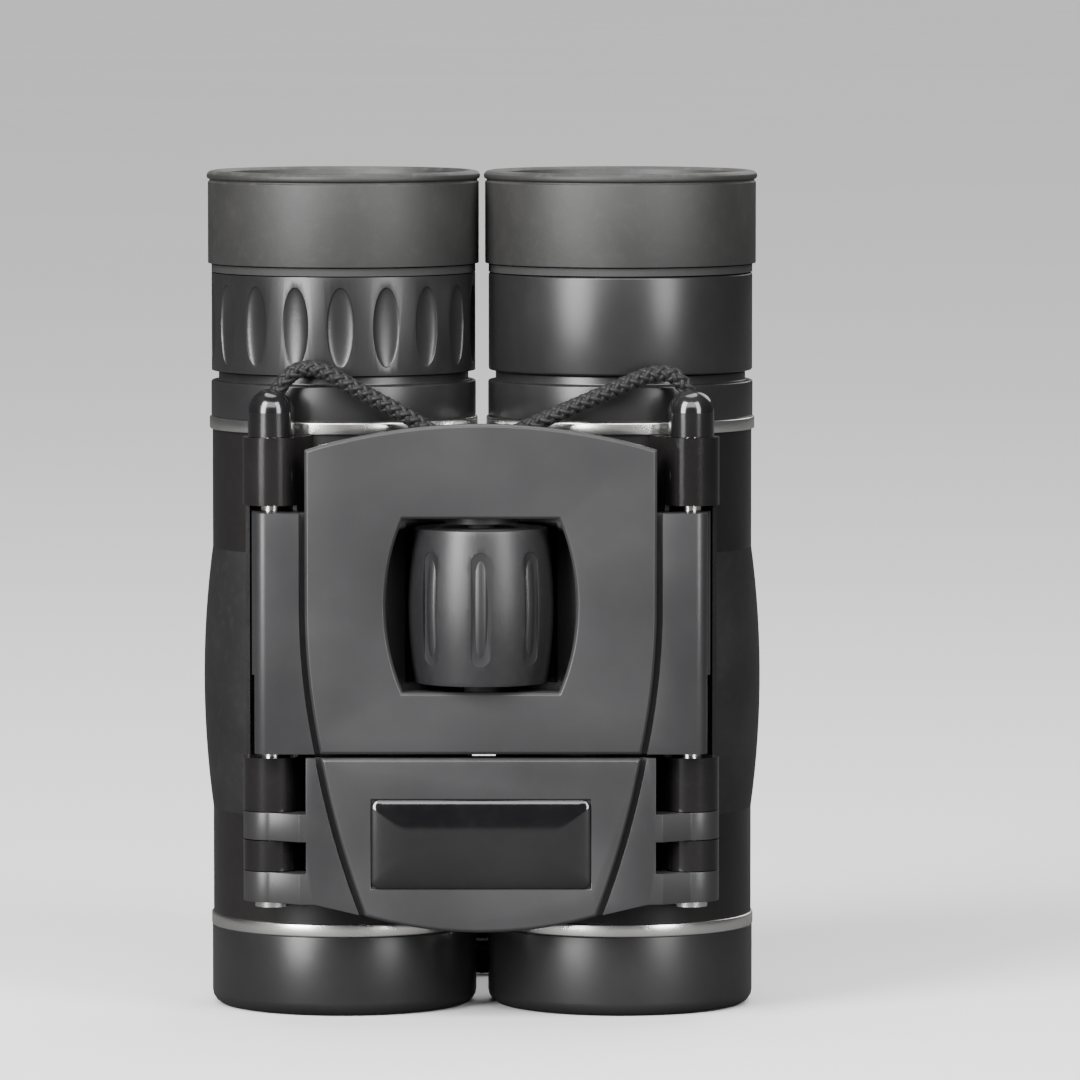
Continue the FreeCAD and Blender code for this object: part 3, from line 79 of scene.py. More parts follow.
def stand_camera():
    """A long lens a little above the eyecups, looking slightly down."""
    camera = bpy.data.objects.new("camera", bpy.data.cameras.new("camera"))
    SCENE.collection.objects.link(camera)
    camera.location = CAMERA_PLACE
    camera.rotation_euler = (math.radians(90 - CAMERA_PITCH), 0, 0)
    camera.data.sensor_width = SENSOR_WIDTH
    camera.data.lens = LENS_LENGTH
    camera.data.clip_start = CLIP_NEAR
    camera.data.clip_end = CLIP_FAR
    SCENE.camera = camera


stand_camera()


# ---------------------------------------------------------------- strap line

RIGHT_RUN = [
    (-23.7, -11.5, 69.0), (-22.4, -11.6, 72.1), (-19.0, -11.9, 73.9), (-13.7, -12.3, 70.9),
    (-7.6, -12.6, 67.7), (-2.6, -10.6, 64.0), (-0.1, -5.5, 61.7), (0.0, 0.5, 61.2),
    (0.0, 7.5, 61.5), (-0.2, 14.5, 60.8), (-1.4, 21.0, 56.0), (-2.0, 23.3, 46.0),
    (-2.5, 23.2, 33.0), (-2.0, 23.9, 20.0), (-3.8, 26.0, 9.0), (-8.4, 28.6, 2.8),
    (-11.6, 32.6, 1.1), (-12.0, 38.0, 1.1), (-12.0, 40.8, 1.15),
]
LEFT_RUN = [
    (23.7, -11.5, 69.0), (22.9, -11.6, 71.9), (19.9, -11.9, 73.2), (14.2, -12.3, 70.7),
    (7.4, -12.6, 67.8), (2.8, -10.6, 65.6), (0.1, -5.5, 64.0), (0.0, 0.5, 63.8),
    (0.0, 7.5, 63.7), (0.3, 14.5, 63.1), (1.8, 21.4, 59.0), (2.5, 23.8, 49.0),
    (2.1, 23.2, 36.0), (2.6, 24.0, 23.0), (3.6, 26.6, 13.0), (8.2, 29.4, 8.6),
    (11.7, 33.0, 7.4), (12.0, 38.0, 7.3), (12.0, 40.8, 7.25),
]
COIL_CENTRE = (0.0, 40.8)
COIL_TURNS = 6.5
COIL_STEPS = 16
COIL_OUTER = 12.0
COIL_INNER = 10.0
COIL_FLOOR = 1.05
COIL_LAYER = 2.07
FIRST_CHANGE = 0.70
CHANGE_APART = 0.875
CHANGE_TAKES = 0.25
CHANGES = 7


def coil_turns():
    """The coil is wound in four layers; each change moves the cord in, out or up by one cord."""
    points = []
    for step in range(1, round(COIL_TURNS * COIL_STEPS)):
        turn = step / COIL_STEPS
        radius = COIL_OUTER
        height = COIL_FLOOR
        for change in range(CHANGES):
            begin = FIRST_CHANGE + CHANGE_APART * change
            share = min(max((turn - begin) / CHANGE_TAKES, 0.0), 1.0)
            if change % 2:
                height += COIL_LAYER * share
            elif change % 4 == 0:
                radius -= (COIL_OUTER - COIL_INNER) * share
            else:
                radius += (COIL_OUTER - COIL_INNER) * share
        radius /= math.cos(math.pi / COIL_STEPS)
        angle = math.pi - 2 * math.pi * turn
        x = COIL_CENTRE[0] + radius * math.cos(angle)
        y = COIL_CENTRE[1] + radius * math.sin(angle)
        points.append((x, y, height))
    return points


CURVE_STEPS = 10
CORE_SIDES = 2


def cord_curve(name, route, thickness):
    """One smooth open line through the route, as thick as the cord's core."""
    curve = bpy.data.curves.new(name, "CURVE")
    curve.dimensions = "3D"
    spline = curve.splines.new("NURBS")
    spline.points.add(len(route) - 1)
    for point, place in zip(spline.points, route):
        point.co = (place[0] * MM, place[1] * MM, place[2] * MM, 1)
    spline.order_u = 3
    spline.use_endpoint_u = True
    spline.resolution_u = CURVE_STEPS
    curve.bevel_depth = thickness
    curve.bevel_resolution = CORE_SIDES
    curve.use_fill_caps = True
    cord = bpy.data.objects.new(name, curve)
    SCENE.collection.objects.link(cord)
    return cord


CORE_RADIUS = 0.74 * MM
strap_core = cord_curve("strap_core", RIGHT_RUN + coil_turns() + LEFT_RUN[::-1], CORE_RADIUS)


def centre_line(cord):
    """Places along the cord's own smooth line, with their distance from its start."""
    bare = bpy.data.objects.new("bare_line", cord.data.copy())
    bare.data.bevel_depth = 0
    SCENE.collection.objects.link(bare)
    mesh = bpy.data.meshes.new_from_object(bare)
    places = np.array([vertex.co for vertex in mesh.vertices])
    bpy.data.objects.remove(bare)
    bpy.data.meshes.remove(mesh)
    steps = np.linalg.norm(np.diff(places, axis=0), axis=1)
    return places, np.concatenate(([0.0], np.cumsum(steps)))


line_places, line_along = centre_line(strap_core)
line_length = line_along[-1]

PITCH = 4.8 * MM
STRANDS_EACH_WAY = 4
WEAVE_RADIUS = 0.70 * MM
WEAVE_LIFT = 0.08 * MM
STRAND_WIDE = 0.31 * MM
STRAND_DEEP = 0.21 * MM
FIRST_SIDEWAYS = (0.3, 0.2, 0.9)


def unit(rows):
    """Each row at length one."""
    return rows / np.linalg.norm(rows, axis=1)[:, None]


def braid(name, start, stop, per_pitch, sides):
    """Eight strands plaited over and under each other round the cord's core."""
    count = int((stop - start) / PITCH * per_pitch)
    along = np.linspace(start, stop, count)
    middle = np.stack([np.interp(along, line_along, line_places[:, i]) for i in range(3)], 1)
    ahead = unit(np.gradient(middle, axis=0))
    across = np.zeros_like(middle)
    across[0] = unit(np.cross(ahead[:1], [FIRST_SIDEWAYS]))[0]
    for i in range(1, count):
        carried = across[i - 1] - ahead[i] * across[i - 1].dot(ahead[i])
        across[i] = carried / np.linalg.norm(carried)
    beside = np.cross(ahead, across)
    phase = 2 * math.pi * along / PITCH
    vertices = []
    faces = []
    for way in (1, -1):
        lift = WEAVE_RADIUS + way * WEAVE_LIFT * np.cos(STRANDS_EACH_WAY * phase)
        for strand in range(STRANDS_EACH_WAY):
            angle = 2 * math.pi * strand / STRANDS_EACH_WAY + way * phase
            out = across * np.cos(angle)[:, None] + beside * np.sin(angle)[:, None]
            centre = middle + out * lift[:, None]
            run = unit(np.gradient(centre, axis=0))
            flat = unit(np.cross(run, out))
            first = len(vertices)
            for side in range(sides):
                turn = 2 * math.pi * (side + 0.5) / sides
                ring = centre + flat * (STRAND_WIDE * math.cos(turn))
                ring = ring + out * (STRAND_DEEP * math.sin(turn))
                vertices.extend(ring.tolist())
            for i in range(count - 1):
                for side in range(sides):
                    near = first + side * count + i
                    far = first + (side + 1) % sides * count + i
                    faces.append((near, near + 1, far + 1, far))
            for end, order in ((0, 1), (count - 1, -1)):
                cap = [first + side * count + end for side in range(sides)]
                faces.append(tuple(cap[::order]))
    mesh = bpy.data.meshes.new(name)
    mesh.from_pydata(vertices, [], faces)
    piece = bpy.data.objects.new(name, mesh)
    SCENE.collection.objects.link(piece)
    bpy.ops.object.select_all(action="DESELECT")
    bpy.context.view_layer.objects.active = piece
    piece.select_set(True)
    bpy.ops.object.mode_set(mode="EDIT")
    bpy.ops.mesh.select_all(action="SELECT")
    bpy.ops.mesh.normals_make_consistent(inside=False)
    bpy.ops.object.mode_set(mode="OBJECT")
    bpy.ops.object.shade_smooth()
    return piece


def nearest_along(place):
    """How far along the strap a place on its route is."""
    gaps = np.linalg.norm(line_places - np.array(place) * MM, axis=1)
    return line_along[int(np.argmin(gaps))]


coil_start = nearest_along(RIGHT_RUN[-1])
coil_stop = nearest_along(LEFT_RUN[-1])
RUN_STEPS = 30
RUN_SIDES = 6
TURN_STEPS = 16
TURN_SIDES = 4
braids = [
    braid("right_strap_braid", 0.0, coil_start, RUN_STEPS, RUN_SIDES),
    braid("coil_braid", coil_start, coil_stop, TURN_STEPS, TURN_SIDES),
    braid("left_strap_braid", coil_stop, line_length, RUN_STEPS, RUN_SIDES),
]


# ---------------------------------------------------------------- finishes


def new_group(name, inputs, outputs):
    """An empty effect with named sockets."""
    group = bpy.data.node_groups.new(name, "ShaderNodeTree")
    for label, value in inputs:
        kind = "NodeSocketVector" if value is None else "NodeSocketFloat"
        socket = group.interface.new_socket(label, in_out="INPUT", socket_type=kind)
        if value is not None:
            socket.default_value = value
    for label in outputs:
        group.interface.new_socket(label, in_out="OUTPUT", socket_type="NodeSocketFloat")
    start = group.nodes.new("NodeGroupInput")
    end = group.nodes.new("NodeGroupOutput")
    return group, start, end


def noise(tree, vector, scale, detail=2.0):
    """Soft noise, with its scale from a number or a socket."""
    node = tree.nodes.new("ShaderNodeTexNoise")
    tree.links.new(vector, node.inputs["Vector"])
    if isinstance(scale, bpy.types.NodeSocket):
        tree.links.new(scale, node.inputs["Scale"])
    else:
        node.inputs["Scale"].default_value = scale
    node.inputs["Detail"].default_value = detail
    return node.outputs["Fac"]


def calculated(tree, operation, first, second, clamp=False):
    """One arithmetic step on two sockets or numbers."""
    node = tree.nodes.new("ShaderNodeMath")
    node.operation = operation
    node.use_clamp = clamp
    for socket, value in zip(node.inputs, (first, second)):
        if isinstance(value, bpy.types.NodeSocket):
            tree.links.new(value, socket)
        else:
            socket.default_value = value
    return node.outputs[0]


def rescaled(tree, value, low, high, to_low, to_high):
    """The value stretched from one range to another and held at its ends."""
    node = tree.nodes.new("ShaderNodeMapRange")
    tree.links.new(value, node.inputs["Value"])
    node.inputs["From Min"].default_value = low
    node.inputs["From Max"].default_value = high
    node.inputs["To Min"].default_value = to_low
    node.inputs["To Max"].default_value = to_high
    return node.outputs["Result"]


def build_skin_group():
    """Moulded skin: a fine grain to feel, a slow change of tone and the odd paler fleck."""
    group, start, end = new_group(
        "moulded_skin",
        [("Vector", None), ("Grain", 3000.0), ("Clouds", 60.0)],
        ["Height", "Tone", "Fleck"],
    )
    vector = start.outputs["Vector"]
    grain = noise(group, vector, start.outputs["Grain"], 3.0)
    finer_scale = calculated(group, "MULTIPLY", start.outputs["Grain"], 2.7)
    finer = noise(group, vector, finer_scale, 1.0)
    height = calculated(group, "ADD", grain, calculated(group, "MULTIPLY", finer, 0.5))
    group.links.new(height, end.inputs["Height"])
    group.links.new(noise(group, vector, start.outputs["Clouds"], 3.0), end.inputs["Tone"])
    fleck = rescaled(group, finer, 0.66, 0.74, 0.0, 1.0)
    group.links.new(fleck, end.inputs["Fleck"])
    return group


SPECK_SCALE = 900.0
SMEAR_SCALE = 90.0


def build_dust_group():
    """Dust and finger marks: faint, more of it on what faces up."""
    group, start, end = new_group(
        "dust_marks", [("Vector", None), ("Normal", None), ("Amount", 0.1)], ["Mask"]
    )
    split = group.nodes.new("ShaderNodeSeparateXYZ")
    group.links.new(start.outputs["Normal"], split.inputs[0])
    upward = calculated(group, "MAXIMUM", split.outputs["Z"], 0.15)
    speck_noise = noise(group, start.outputs["Vector"], SPECK_SCALE, 4.0)
    smear_noise = noise(group, start.outputs["Vector"], SMEAR_SCALE, 2.0)
    specks = rescaled(group, speck_noise, 0.5, 0.8, 0.0, 1.0)
    smears = rescaled(group, smear_noise, 0.45, 0.7, 0.0, 1.0)
    dusty = calculated(group, "MULTIPLY", upward, calculated(group, "ADD", specks, smears))
    mask = calculated(group, "MULTIPLY", dusty, start.outputs["Amount"], clamp=True)
    group.links.new(mask, end.inputs["Mask"])
    return group


RING_DRIFT = 0.02


def build_turning_group():
    """Turning marks: fine rings that run round an upright axis."""
    group, start, end = new_group(
        "turning_marks", [("Vector", None), ("Rings", 9000.0)], ["Height"]
    )
    split = group.nodes.new("ShaderNodeSeparateXYZ")
    group.links.new(start.outputs["Vector"], split.inputs[0])
    join = group.nodes.new("ShaderNodeCombineXYZ")
    group.links.new(split.outputs["Z"], join.inputs["Z"])
    for axis in ("X", "Y"):
        drift = calculated(group, "MULTIPLY", split.outputs[axis], RING_DRIFT)
        group.links.new(drift, join.inputs[axis])
    rings = noise(group, join.outputs[0], start.outputs["Rings"], 2.0)
    group.links.new(rings, end.inputs["Height"])
    return group


SKIN = build_skin_group()
DUST = build_dust_group()
TURNING = build_turning_group()
DUST_COLOUR = (0.42, 0.41, 0.39, 1)


def place_group(tree, group, values, vector):
    """Puts an effect into a material with its own values."""
    node = tree.nodes.new("ShaderNodeGroup")
    node.node_tree = group
    tree.links.new(vector, node.inputs["Vector"])
    for label, value in values.items():
        if isinstance(value, bpy.types.NodeSocket):
            tree.links.new(value, node.inputs[label])
        else:
            node.inputs[label].default_value = value
    return node


def mixed(tree, mask, first, second):
    """Two colours, or sockets with colours, mixed by a mask."""
    node = tree.nodes.new("ShaderNodeMix")
    node.data_type = "RGBA"
    tree.links.new(mask, node.inputs["Factor"])
    inputs = [socket for socket in node.inputs if socket.type == "RGBA"]
    for socket, value in zip(inputs, (first, second)):
        if isinstance(value, bpy.types.NodeSocket):
            tree.links.new(value, socket)
        else:
            socket.default_value = value
    return [socket for socket in node.outputs if socket.type == "RGBA"][0]


def bumped(tree, height, distance, strength):
    """A height turned into a relief in the surface."""
    node = tree.nodes.new("ShaderNodeBump")
    node.inputs["Distance"].default_value = distance
    node.inputs["Strength"].default_value = strength
    tree.links.new(height, node.inputs["Height"])
    return node.outputs["Normal"]


def open_material(name):
    """A new material with its tree, its shader and the place on the object."""
    material = bpy.data.materials.new(name)
    material.use_nodes = True
    tree = material.node_tree
    shader = tree.nodes["Principled BSDF"]
    vector = tree.nodes.new("ShaderNodeTexCoord").outputs["Object"]
    return material, tree, shader, vector


def shade(colour, factor):
    """A lighter or darker shade of a colour."""
    return (colour[0] * factor, colour[1] * factor, colour[2] * factor, 1)


FLECK_SHARE = 0.25
FLECK_SHADE = 1.9
DUST_DULLS = 0.3
SKIN_RELIEF = 0.6
COAT_ROUGHNESS = 0.08


def moulded(
    name, colour, rough, grain=3500.0, depth=0.010, tone=0.18, dust=0.06, coat=0.0, gleam=0.5
):
    """Black moulding, paint or rubber: grain, a slow change of tone and a little dust."""
    material, tree, shader, vector = open_material(name)
    skin = place_group(tree, SKIN, {"Grain": grain}, vector)
    normal = tree.nodes.new("ShaderNodeNewGeometry").outputs["Normal"]
    marks = place_group(tree, DUST, {"Normal": normal, "Amount": dust}, vector)
    clouds = rescaled(tree, skin.outputs["Tone"], 0.35, 0.65, 0, 1)
    ground = mixed(tree, clouds, shade(colour, 1 - tone), shade(colour, 1 + tone))
    flecks = calculated(tree, "MULTIPLY", skin.outputs["Fleck"], FLECK_SHARE)
    flecked = mixed(tree, flecks, ground, shade(colour, FLECK_SHADE))
    dusty = mixed(tree, marks.outputs["Mask"], flecked, DUST_COLOUR)
    tree.links.new(dusty, shader.inputs["Base Color"])
    uneven = rescaled(tree, skin.outputs["Tone"], 0.3, 0.7, rough - 0.04, rough + 0.05)
    dulled = calculated(tree, "MULTIPLY", marks.outputs["Mask"], DUST_DULLS)
    matt = calculated(tree, "ADD", uneven, dulled, clamp=True)
    tree.links.new(matt, shader.inputs["Roughness"])
    relief = bumped(tree, skin.outputs["Height"], depth * MM, SKIN_RELIEF)
    tree.links.new(relief, shader.inputs["Normal"])
    shader.inputs["Specular IOR Level"].default_value = gleam
    shader.inputs["Coat Weight"].default_value = coat
    shader.inputs["Coat Roughness"].default_value = COAT_ROUGHNESS
    return material


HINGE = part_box("right_hinge_rod")
HINGE_X = abs(HINGE[0].x + HINGE[1].x) / 2
HINGE_Y = (HINGE[0].y + HINGE[1].y) / 2
KNUCKLE_REACH = 3.45 * MM
KNUCKLE_FADE = 1.1
KNUCKLE_POLISH = 0.22


def painted_barrel():
    """Satin paint on the tube, rubbed to a polish round the hinge knuckles."""
    material = moulded(
        "barrel_paint", (0.009, 0.0083, 0.0082), 0.34,
        grain=5200, depth=0.005, tone=0.16, dust=0.03, gleam=0.3,
    )
    tree = material.node_tree
    shader = tree.nodes["Principled BSDF"]
    vector = tree.nodes["Texture Coordinate"].outputs["Object"]
    split = tree.nodes.new("ShaderNodeSeparateXYZ")
    tree.links.new(vector, split.inputs[0])
    outward = calculated(tree, "ABSOLUTE", split.outputs["X"], 0.0)
    sideways = calculated(tree, "SUBTRACT", outward, HINGE_X)
    forward = calculated(tree, "SUBTRACT", split.outputs["Y"], HINGE_Y)
    squares = calculated(
        tree,
        "ADD",
        calculated(tree, "MULTIPLY", sideways, sideways),
        calculated(tree, "MULTIPLY", forward, forward),
    )
    reach = calculated(tree, "SQRT", squares, 0.0)
    knuckle = rescaled(tree, reach, KNUCKLE_REACH, KNUCKLE_REACH * KNUCKLE_FADE, 1.0, 0.0)
    rough = shader.inputs["Roughness"].links[0].from_socket
    smoother = calculated(tree, "MULTIPLY", knuckle, KNUCKLE_POLISH)
    polished = calculated(tree, "SUBTRACT", rough, smoother, clamp=True)
    tree.links.new(polished, shader.inputs["Roughness"])
    return material


TOOL_RELIEF = 0.35


def bare_metal(name, colour, rough, rings=9000.0, depth=0.002, tone=0.05):
    """Turned or milled metal with fine tool marks."""
    material, tree, shader, vector = open_material(name)
    marks = place_group(tree, TURNING, {"Rings": rings}, vector)
    skin = place_group(tree, SKIN, {"Grain": 2500.0, "Clouds": 120.0}, vector)
    darker = shade(colour, 1 - tone)
    lighter = shade(colour, 1 + tone)
    ground = mixed(tree, skin.outputs["Tone"], darker, lighter)
    tree.links.new(ground, shader.inputs["Base Color"])
    uneven = rescaled(tree, skin.outputs["Tone"], 0.3, 0.7, rough * 0.8, rough * 1.25)
    tree.links.new(uneven, shader.inputs["Roughness"])
    relief = bumped(tree, marks.outputs["Height"], depth * MM, TOOL_RELIEF)
    tree.links.new(relief, shader.inputs["Normal"])
    shader.inputs["Metallic"].default_value = 1.0
    return material


GLASS_TILT = 0.35
GLASS_CLEAR = 0.9
GLASS_INDEX = 1.52


def lens_glass(name, middle, edge):
    """Optical glass whose coating shifts in tint towards its edge."""
    material, tree, shader, vector = open_material(name)
    tilt = tree.nodes.new("ShaderNodeLayerWeight")
    tilt.inputs["Blend"].default_value = GLASS_TILT
    tree.links.new(mixed(tree, tilt.outputs["Facing"], middle, edge), shader.inputs["Base Color"])
    smears = rescaled(tree, noise(tree, vector, 400.0, 3.0), 0.4, 0.7, 0.01, 0.05)
    tree.links.new(smears, shader.inputs["Roughness"])
    shader.inputs["Transmission Weight"].default_value = GLASS_CLEAR
    shader.inputs["IOR"].default_value = GLASS_INDEX
    return material


def plaited_nylon():
    """Black nylon yarn: fine fibres, a faint sheen and a slow change of tone."""
    material, tree, shader, vector = open_material("plaited_nylon")
    fibres = noise(tree, vector, 9000.0, 2.0)
    clouds = noise(tree, vector, 300.0, 2.0)
    ground = mixed(tree, clouds, (0.004, 0.004, 0.0045, 1), (0.011, 0.011, 0.012, 1))
    tree.links.new(ground, shader.inputs["Base Color"])
    tree.links.new(rescaled(tree, fibres, 0.3, 0.7, 0.45, 0.75), shader.inputs["Roughness"])
    tree.links.new(bumped(tree, fibres, 0.03 * MM, 0.8), shader.inputs["Normal"])
    shader.inputs["Sheen Weight"].default_value = 0.04
    shader.inputs["Specular IOR Level"].default_value = 0.35
    return material


FINISHES = {
    "barrel_black": painted_barrel(),
    "ring_black": moulded(
        "ring_satin", (0.013, 0.013, 0.0135), 0.33,
        grain=5200, depth=0.005, tone=0.12, dust=0.03,
    ),
    "bridge_black": moulded(
        "bridge_satin", (0.020, 0.020, 0.021), 0.36,
        grain=4600, depth=0.006, tone=0.14, dust=0.03,
    ),
    "plate_black": moulded(
        "plate_satin", (0.026, 0.026, 0.027), 0.36,
        grain=4600, depth=0.008, tone=0.12, dust=0.03,
    ),
    "cap_black": moulded(
        "cap_polish", (0.006, 0.006, 0.0065), 0.16,
        grain=2500, depth=0.002, tone=0.10, dust=0.03, coat=0.6,
    ),
    "label_gloss": moulded(
        "label_resin", (0.004, 0.004, 0.0045), 0.10,
        grain=900, depth=0.004, tone=0.2, dust=0.03, coat=1.0,
    ),
    "grip_rubber": moulded(
        "grip_rubber", (0.011, 0.0105, 0.0105), 0.50,
        grain=2600, depth=0.016, tone=0.14, dust=0.08, gleam=0.35,
    ),
    "cup_rubber": moulded(
        "cup_rubber", (0.021, 0.0205, 0.020), 0.52,
        grain=2600, depth=0.016, tone=0.14, dust=0.10,
    ),
    "wheel_rubber": moulded(
        "wheel_rubber", (0.016, 0.016, 0.017), 0.36,
        grain=3200, depth=0.010, tone=0.14, dust=0.06,
    ),
    "tie_rubber": moulded(
        "tie_elastic", (0.020, 0.020, 0.020), 0.70,
        grain=2200, depth=0.04, tone=0.20, dust=0.08,
    ),
    "bright_trim": bare_metal("polished_trim", (0.80, 0.79, 0.77), 0.24, 12000, 0.0008),
    "bright_steel": bare_metal("polished_steel", (0.70, 0.69, 0.67), 0.22, 9000, 0.002),
    "brass_parts": bare_metal("turned_brass", (0.78, 0.60, 0.28), 0.30, 7000, 0.004, 0.10),
    "yoke_metal": bare_metal("milled_alloy", (0.55, 0.55, 0.57), 0.38, 5000, 0.004, 0.08),
    # This black finish is also put on the focusing parts behind the wheel as painted shade.
    "inner_black": moulded(
        "inner_anodised_and_painted_shade", (0.020, 0.020, 0.021), 0.70,
        grain=3500, depth=0.006,
    ),
    "clear_glass": lens_glass("prism_glass", (0.90, 0.94, 0.93, 1), (0.80, 0.88, 0.86, 1)),
    "coated_glass": lens_glass("coated_glass", (0.42, 0.30, 0.62, 1), (0.30, 0.55, 0.42, 1)),
    "strap_cord": plaited_nylon(),
}

for subpart in frame["record"]["subparts"]:
    node = NODES[subpart["node"]]
    for material_slot in node.material_slots:
        material_slot.material = FINISHES[subpart["material_slot"]]


# The focusing parts behind the wheel are painted black in place of their metal as painted shade, so
# that nothing glints in the openings and they read as shadow.
SHADE_PAINTED_PARTS = ("focus_screw", "wheel_bushes", "focus_nut", "focus_yoke")
for shade_painted_part in SHADE_PAINTED_PARTS:
    for material_slot in NODES[shade_painted_part].material_slots:
        material_slot.material = FINISHES["inner_black"]


def finish_piece(piece, body, slot, *nodes):
    """Gives a piece its finish, the body it moves with and the frame parts it stands for."""
    piece.data.materials.clear()
    piece.data.materials.append(FINISHES[slot])
    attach(piece, body)
    if nodes:
        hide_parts(*nodes)
    return piece


# ---------------------------------------------------------------- bench tools


def edit(piece):
    """Opens one piece alone in edit mode with all of it selected."""
    bpy.ops.object.select_all(action="DESELECT")
    bpy.context.view_layer.objects.active = piece
    piece.select_set(True)
    bpy.ops.object.mode_set(mode="EDIT")
    bpy.ops.mesh.select_all(action="SELECT")


EDGE_LIMIT = 30.0
SMOOTH_LIMIT = 35.0
CRISP_LIMIT = 16


def round_edges(piece, width, segments=3, smooth=SMOOTH_LIMIT):
    """Rounds the sharp edges and smooths the rest."""
    bevel = piece.modifiers.new("edges", "BEVEL")
    bevel.width = width
    bevel.segments = segments
    bevel.limit_method = "ANGLE"
    bevel.angle_limit = math.radians(EDGE_LIMIT)
    bpy.ops.object.select_all(action="DESELECT")
    bpy.context.view_layer.objects.active = piece
    piece.select_set(True)
    bpy.ops.object.modifier_apply(modifier=bevel.name)
    bpy.ops.object.shade_smooth_by_angle(angle=math.radians(smooth))


def middle_of(node):
    """The upright axis of a frame part, across and in depth."""
    low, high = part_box(node)
    return (low.x + high.x) / 2, (low.y + high.y) / 2


RING_STEPS = 128
MERGE_TURNED = 0.002 * MM
MERGE_COPIED = 0.001 * MM
FLAT_WITHIN = 0.5


def turned(name, node, outline, round_by):
    """A ring turned round an upright axis. Its outline is drawn as millimetres in from the
    rim and up from the foot of the frame part that it stands for."""
    low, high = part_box(node)
    x, y = middle_of(node)
    rim = (high.x - low.x) / 2
    places = [(rim - inset * MM, low.z + rise * MM) for inset, rise in outline]
    bpy.ops.object.select_all(action="DESELECT")
    bpy.ops.mesh.primitive_circle_add(
        vertices=RING_STEPS, radius=places[0][0], location=(x, y, places[0][1])
    )
    piece = bpy.context.object
    piece.name = name
    edit(piece)
    radius, level = places[0]
    for next_radius, next_level in places[1:] + places[:1]:
        bpy.ops.mesh.extrude_edges_move()
        size = next_radius / radius
        bpy.ops.transform.resize(value=(size, size, 1), center_override=(x, y, level))
        bpy.ops.transform.translate(value=(0, 0, next_level - level))
        radius, level = next_radius, next_level
    bpy.ops.mesh.select_all(action="SELECT")
    bpy.ops.mesh.remove_doubles(threshold=MERGE_TURNED)
    bpy.ops.mesh.normals_make_consistent(inside=False)
    bpy.ops.object.mode_set(mode="OBJECT")
    bpy.ops.object.transform_apply(location=True, rotation=True, scale=True)
    round_edges(piece, round_by * MM)
    return piece


def softened(name, node, width, smooth=SMOOTH_LIMIT):
    """A copy of a frame part with its flat faces made whole and its sharp edges rounded."""
    piece = bpy.data.objects.new(name, NODES[node].data.copy())
    SCENE.collection.objects.link(piece)
    edit(piece)
    bpy.ops.mesh.customdata_custom_splitnormals_clear()
    bpy.ops.mesh.remove_doubles(threshold=MERGE_COPIED)
    bpy.ops.mesh.dissolve_limited(angle_limit=math.radians(FLAT_WITHIN))
    bpy.ops.object.mode_set(mode="OBJECT")
    round_edges(piece, width * MM, smooth=smooth)
    return piece


# ---------------------------------------------------------------- strap

TIE_ROUND = 0.35

for piece in braids:
    finish_piece(piece, "bridge", "strap_cord")
finish_piece(strap_core, "bridge", "strap_cord", "right_strap_run", "left_strap_run", "strap_coil")
tie = softened("coil_tie_band", "strap_tie", TIE_ROUND)
finish_piece(tie, "bridge", "tie_rubber", "strap_tie")


# ---------------------------------------------------------------- barrels' rings

CUP_OUTLINE = [
    (1.93, 0.0), (0.15, 0.0), (0.15, 9.2), (0.33, 9.36), (0.33, 9.5), (0.08, 9.62),
    (0.0, 9.85), (0.05, 10.15), (0.35, 10.42), (0.8, 10.5), (1.5, 10.5), (1.95, 10.2),
    (2.15, 9.0), (4.55, 3.2), (6.75, 3.1), (6.75, 1.52), (1.93, 1.52),
]
OCULAR_OUTLINE = [(0.0, 0.0), (0.0, 11.05), (3.95, 11.05), (3.95, 1.0), (0.75, 1.0), (0.75, 0.0)]
COLLAR_OUTLINE = [
    (1.13, 0.0), (0.0, 0.0), (0.0, 4.1), (0.85, 4.1), (0.85, 5.2), (4.0, 5.2), (4.0, 2.92),
    (1.13, 2.92),
]
UPPER_TRIM_OUTLINE = [(1.34, 0.0), (0.0, 0.0), (0.0, 1.4), (1.34, 1.4)]
LOWER_TRIM_OUTLINE = [(1.23, 0.0), (0.0, 0.0), (0.0, 1.45), (1.23, 1.45)]
OBJECTIVE_OUTLINE = [
    (3.17, 0.0), (1.5, 0.0), (0.93, 0.11), (0.44, 0.44), (0.11, 0.93), (0.0, 1.5),
    (0.0, 9.05), (1.15, 9.05), (1.15, 1.3), (2.52, 1.3),
]
CUP_BODY = {"right": "right_eyepiece", "left": "left_barrel"}

for side in SIDES:
    barrel = f"{side}_barrel"
    cup = turned(f"{side}_cup_rubber", f"{side}_eyecup", CUP_OUTLINE, 0.08)
    finish_piece(cup, CUP_BODY[side], "cup_rubber", f"{side}_eyecup")
    for label, node, slot, drawn, round_by in (
        ("collar_ring", "collar", "ring_black", COLLAR_OUTLINE, 0.22),
        ("upper_trim", "upper_trim_ring", "bright_trim", UPPER_TRIM_OUTLINE, 0.16),
        ("lower_trim", "lower_trim_ring", "bright_trim", LOWER_TRIM_OUTLINE, 0.16),
        ("objective_foot", "objective_ring", "ring_black", OBJECTIVE_OUTLINE, 0.14),
    ):
        ring = turned(f"{side}_{label}", f"{side}_{node}", drawn, round_by)
        finish_piece(ring, barrel, slot, f"{side}_{node}")

ocular = turned("left_ocular_sleeve", "left_ocular_ring", OCULAR_OUTLINE, 0.25)
finish_piece(ocular, "left_barrel", "ring_black", "left_ocular_ring")


# ---------------------------------------------------------------- softened mouldings

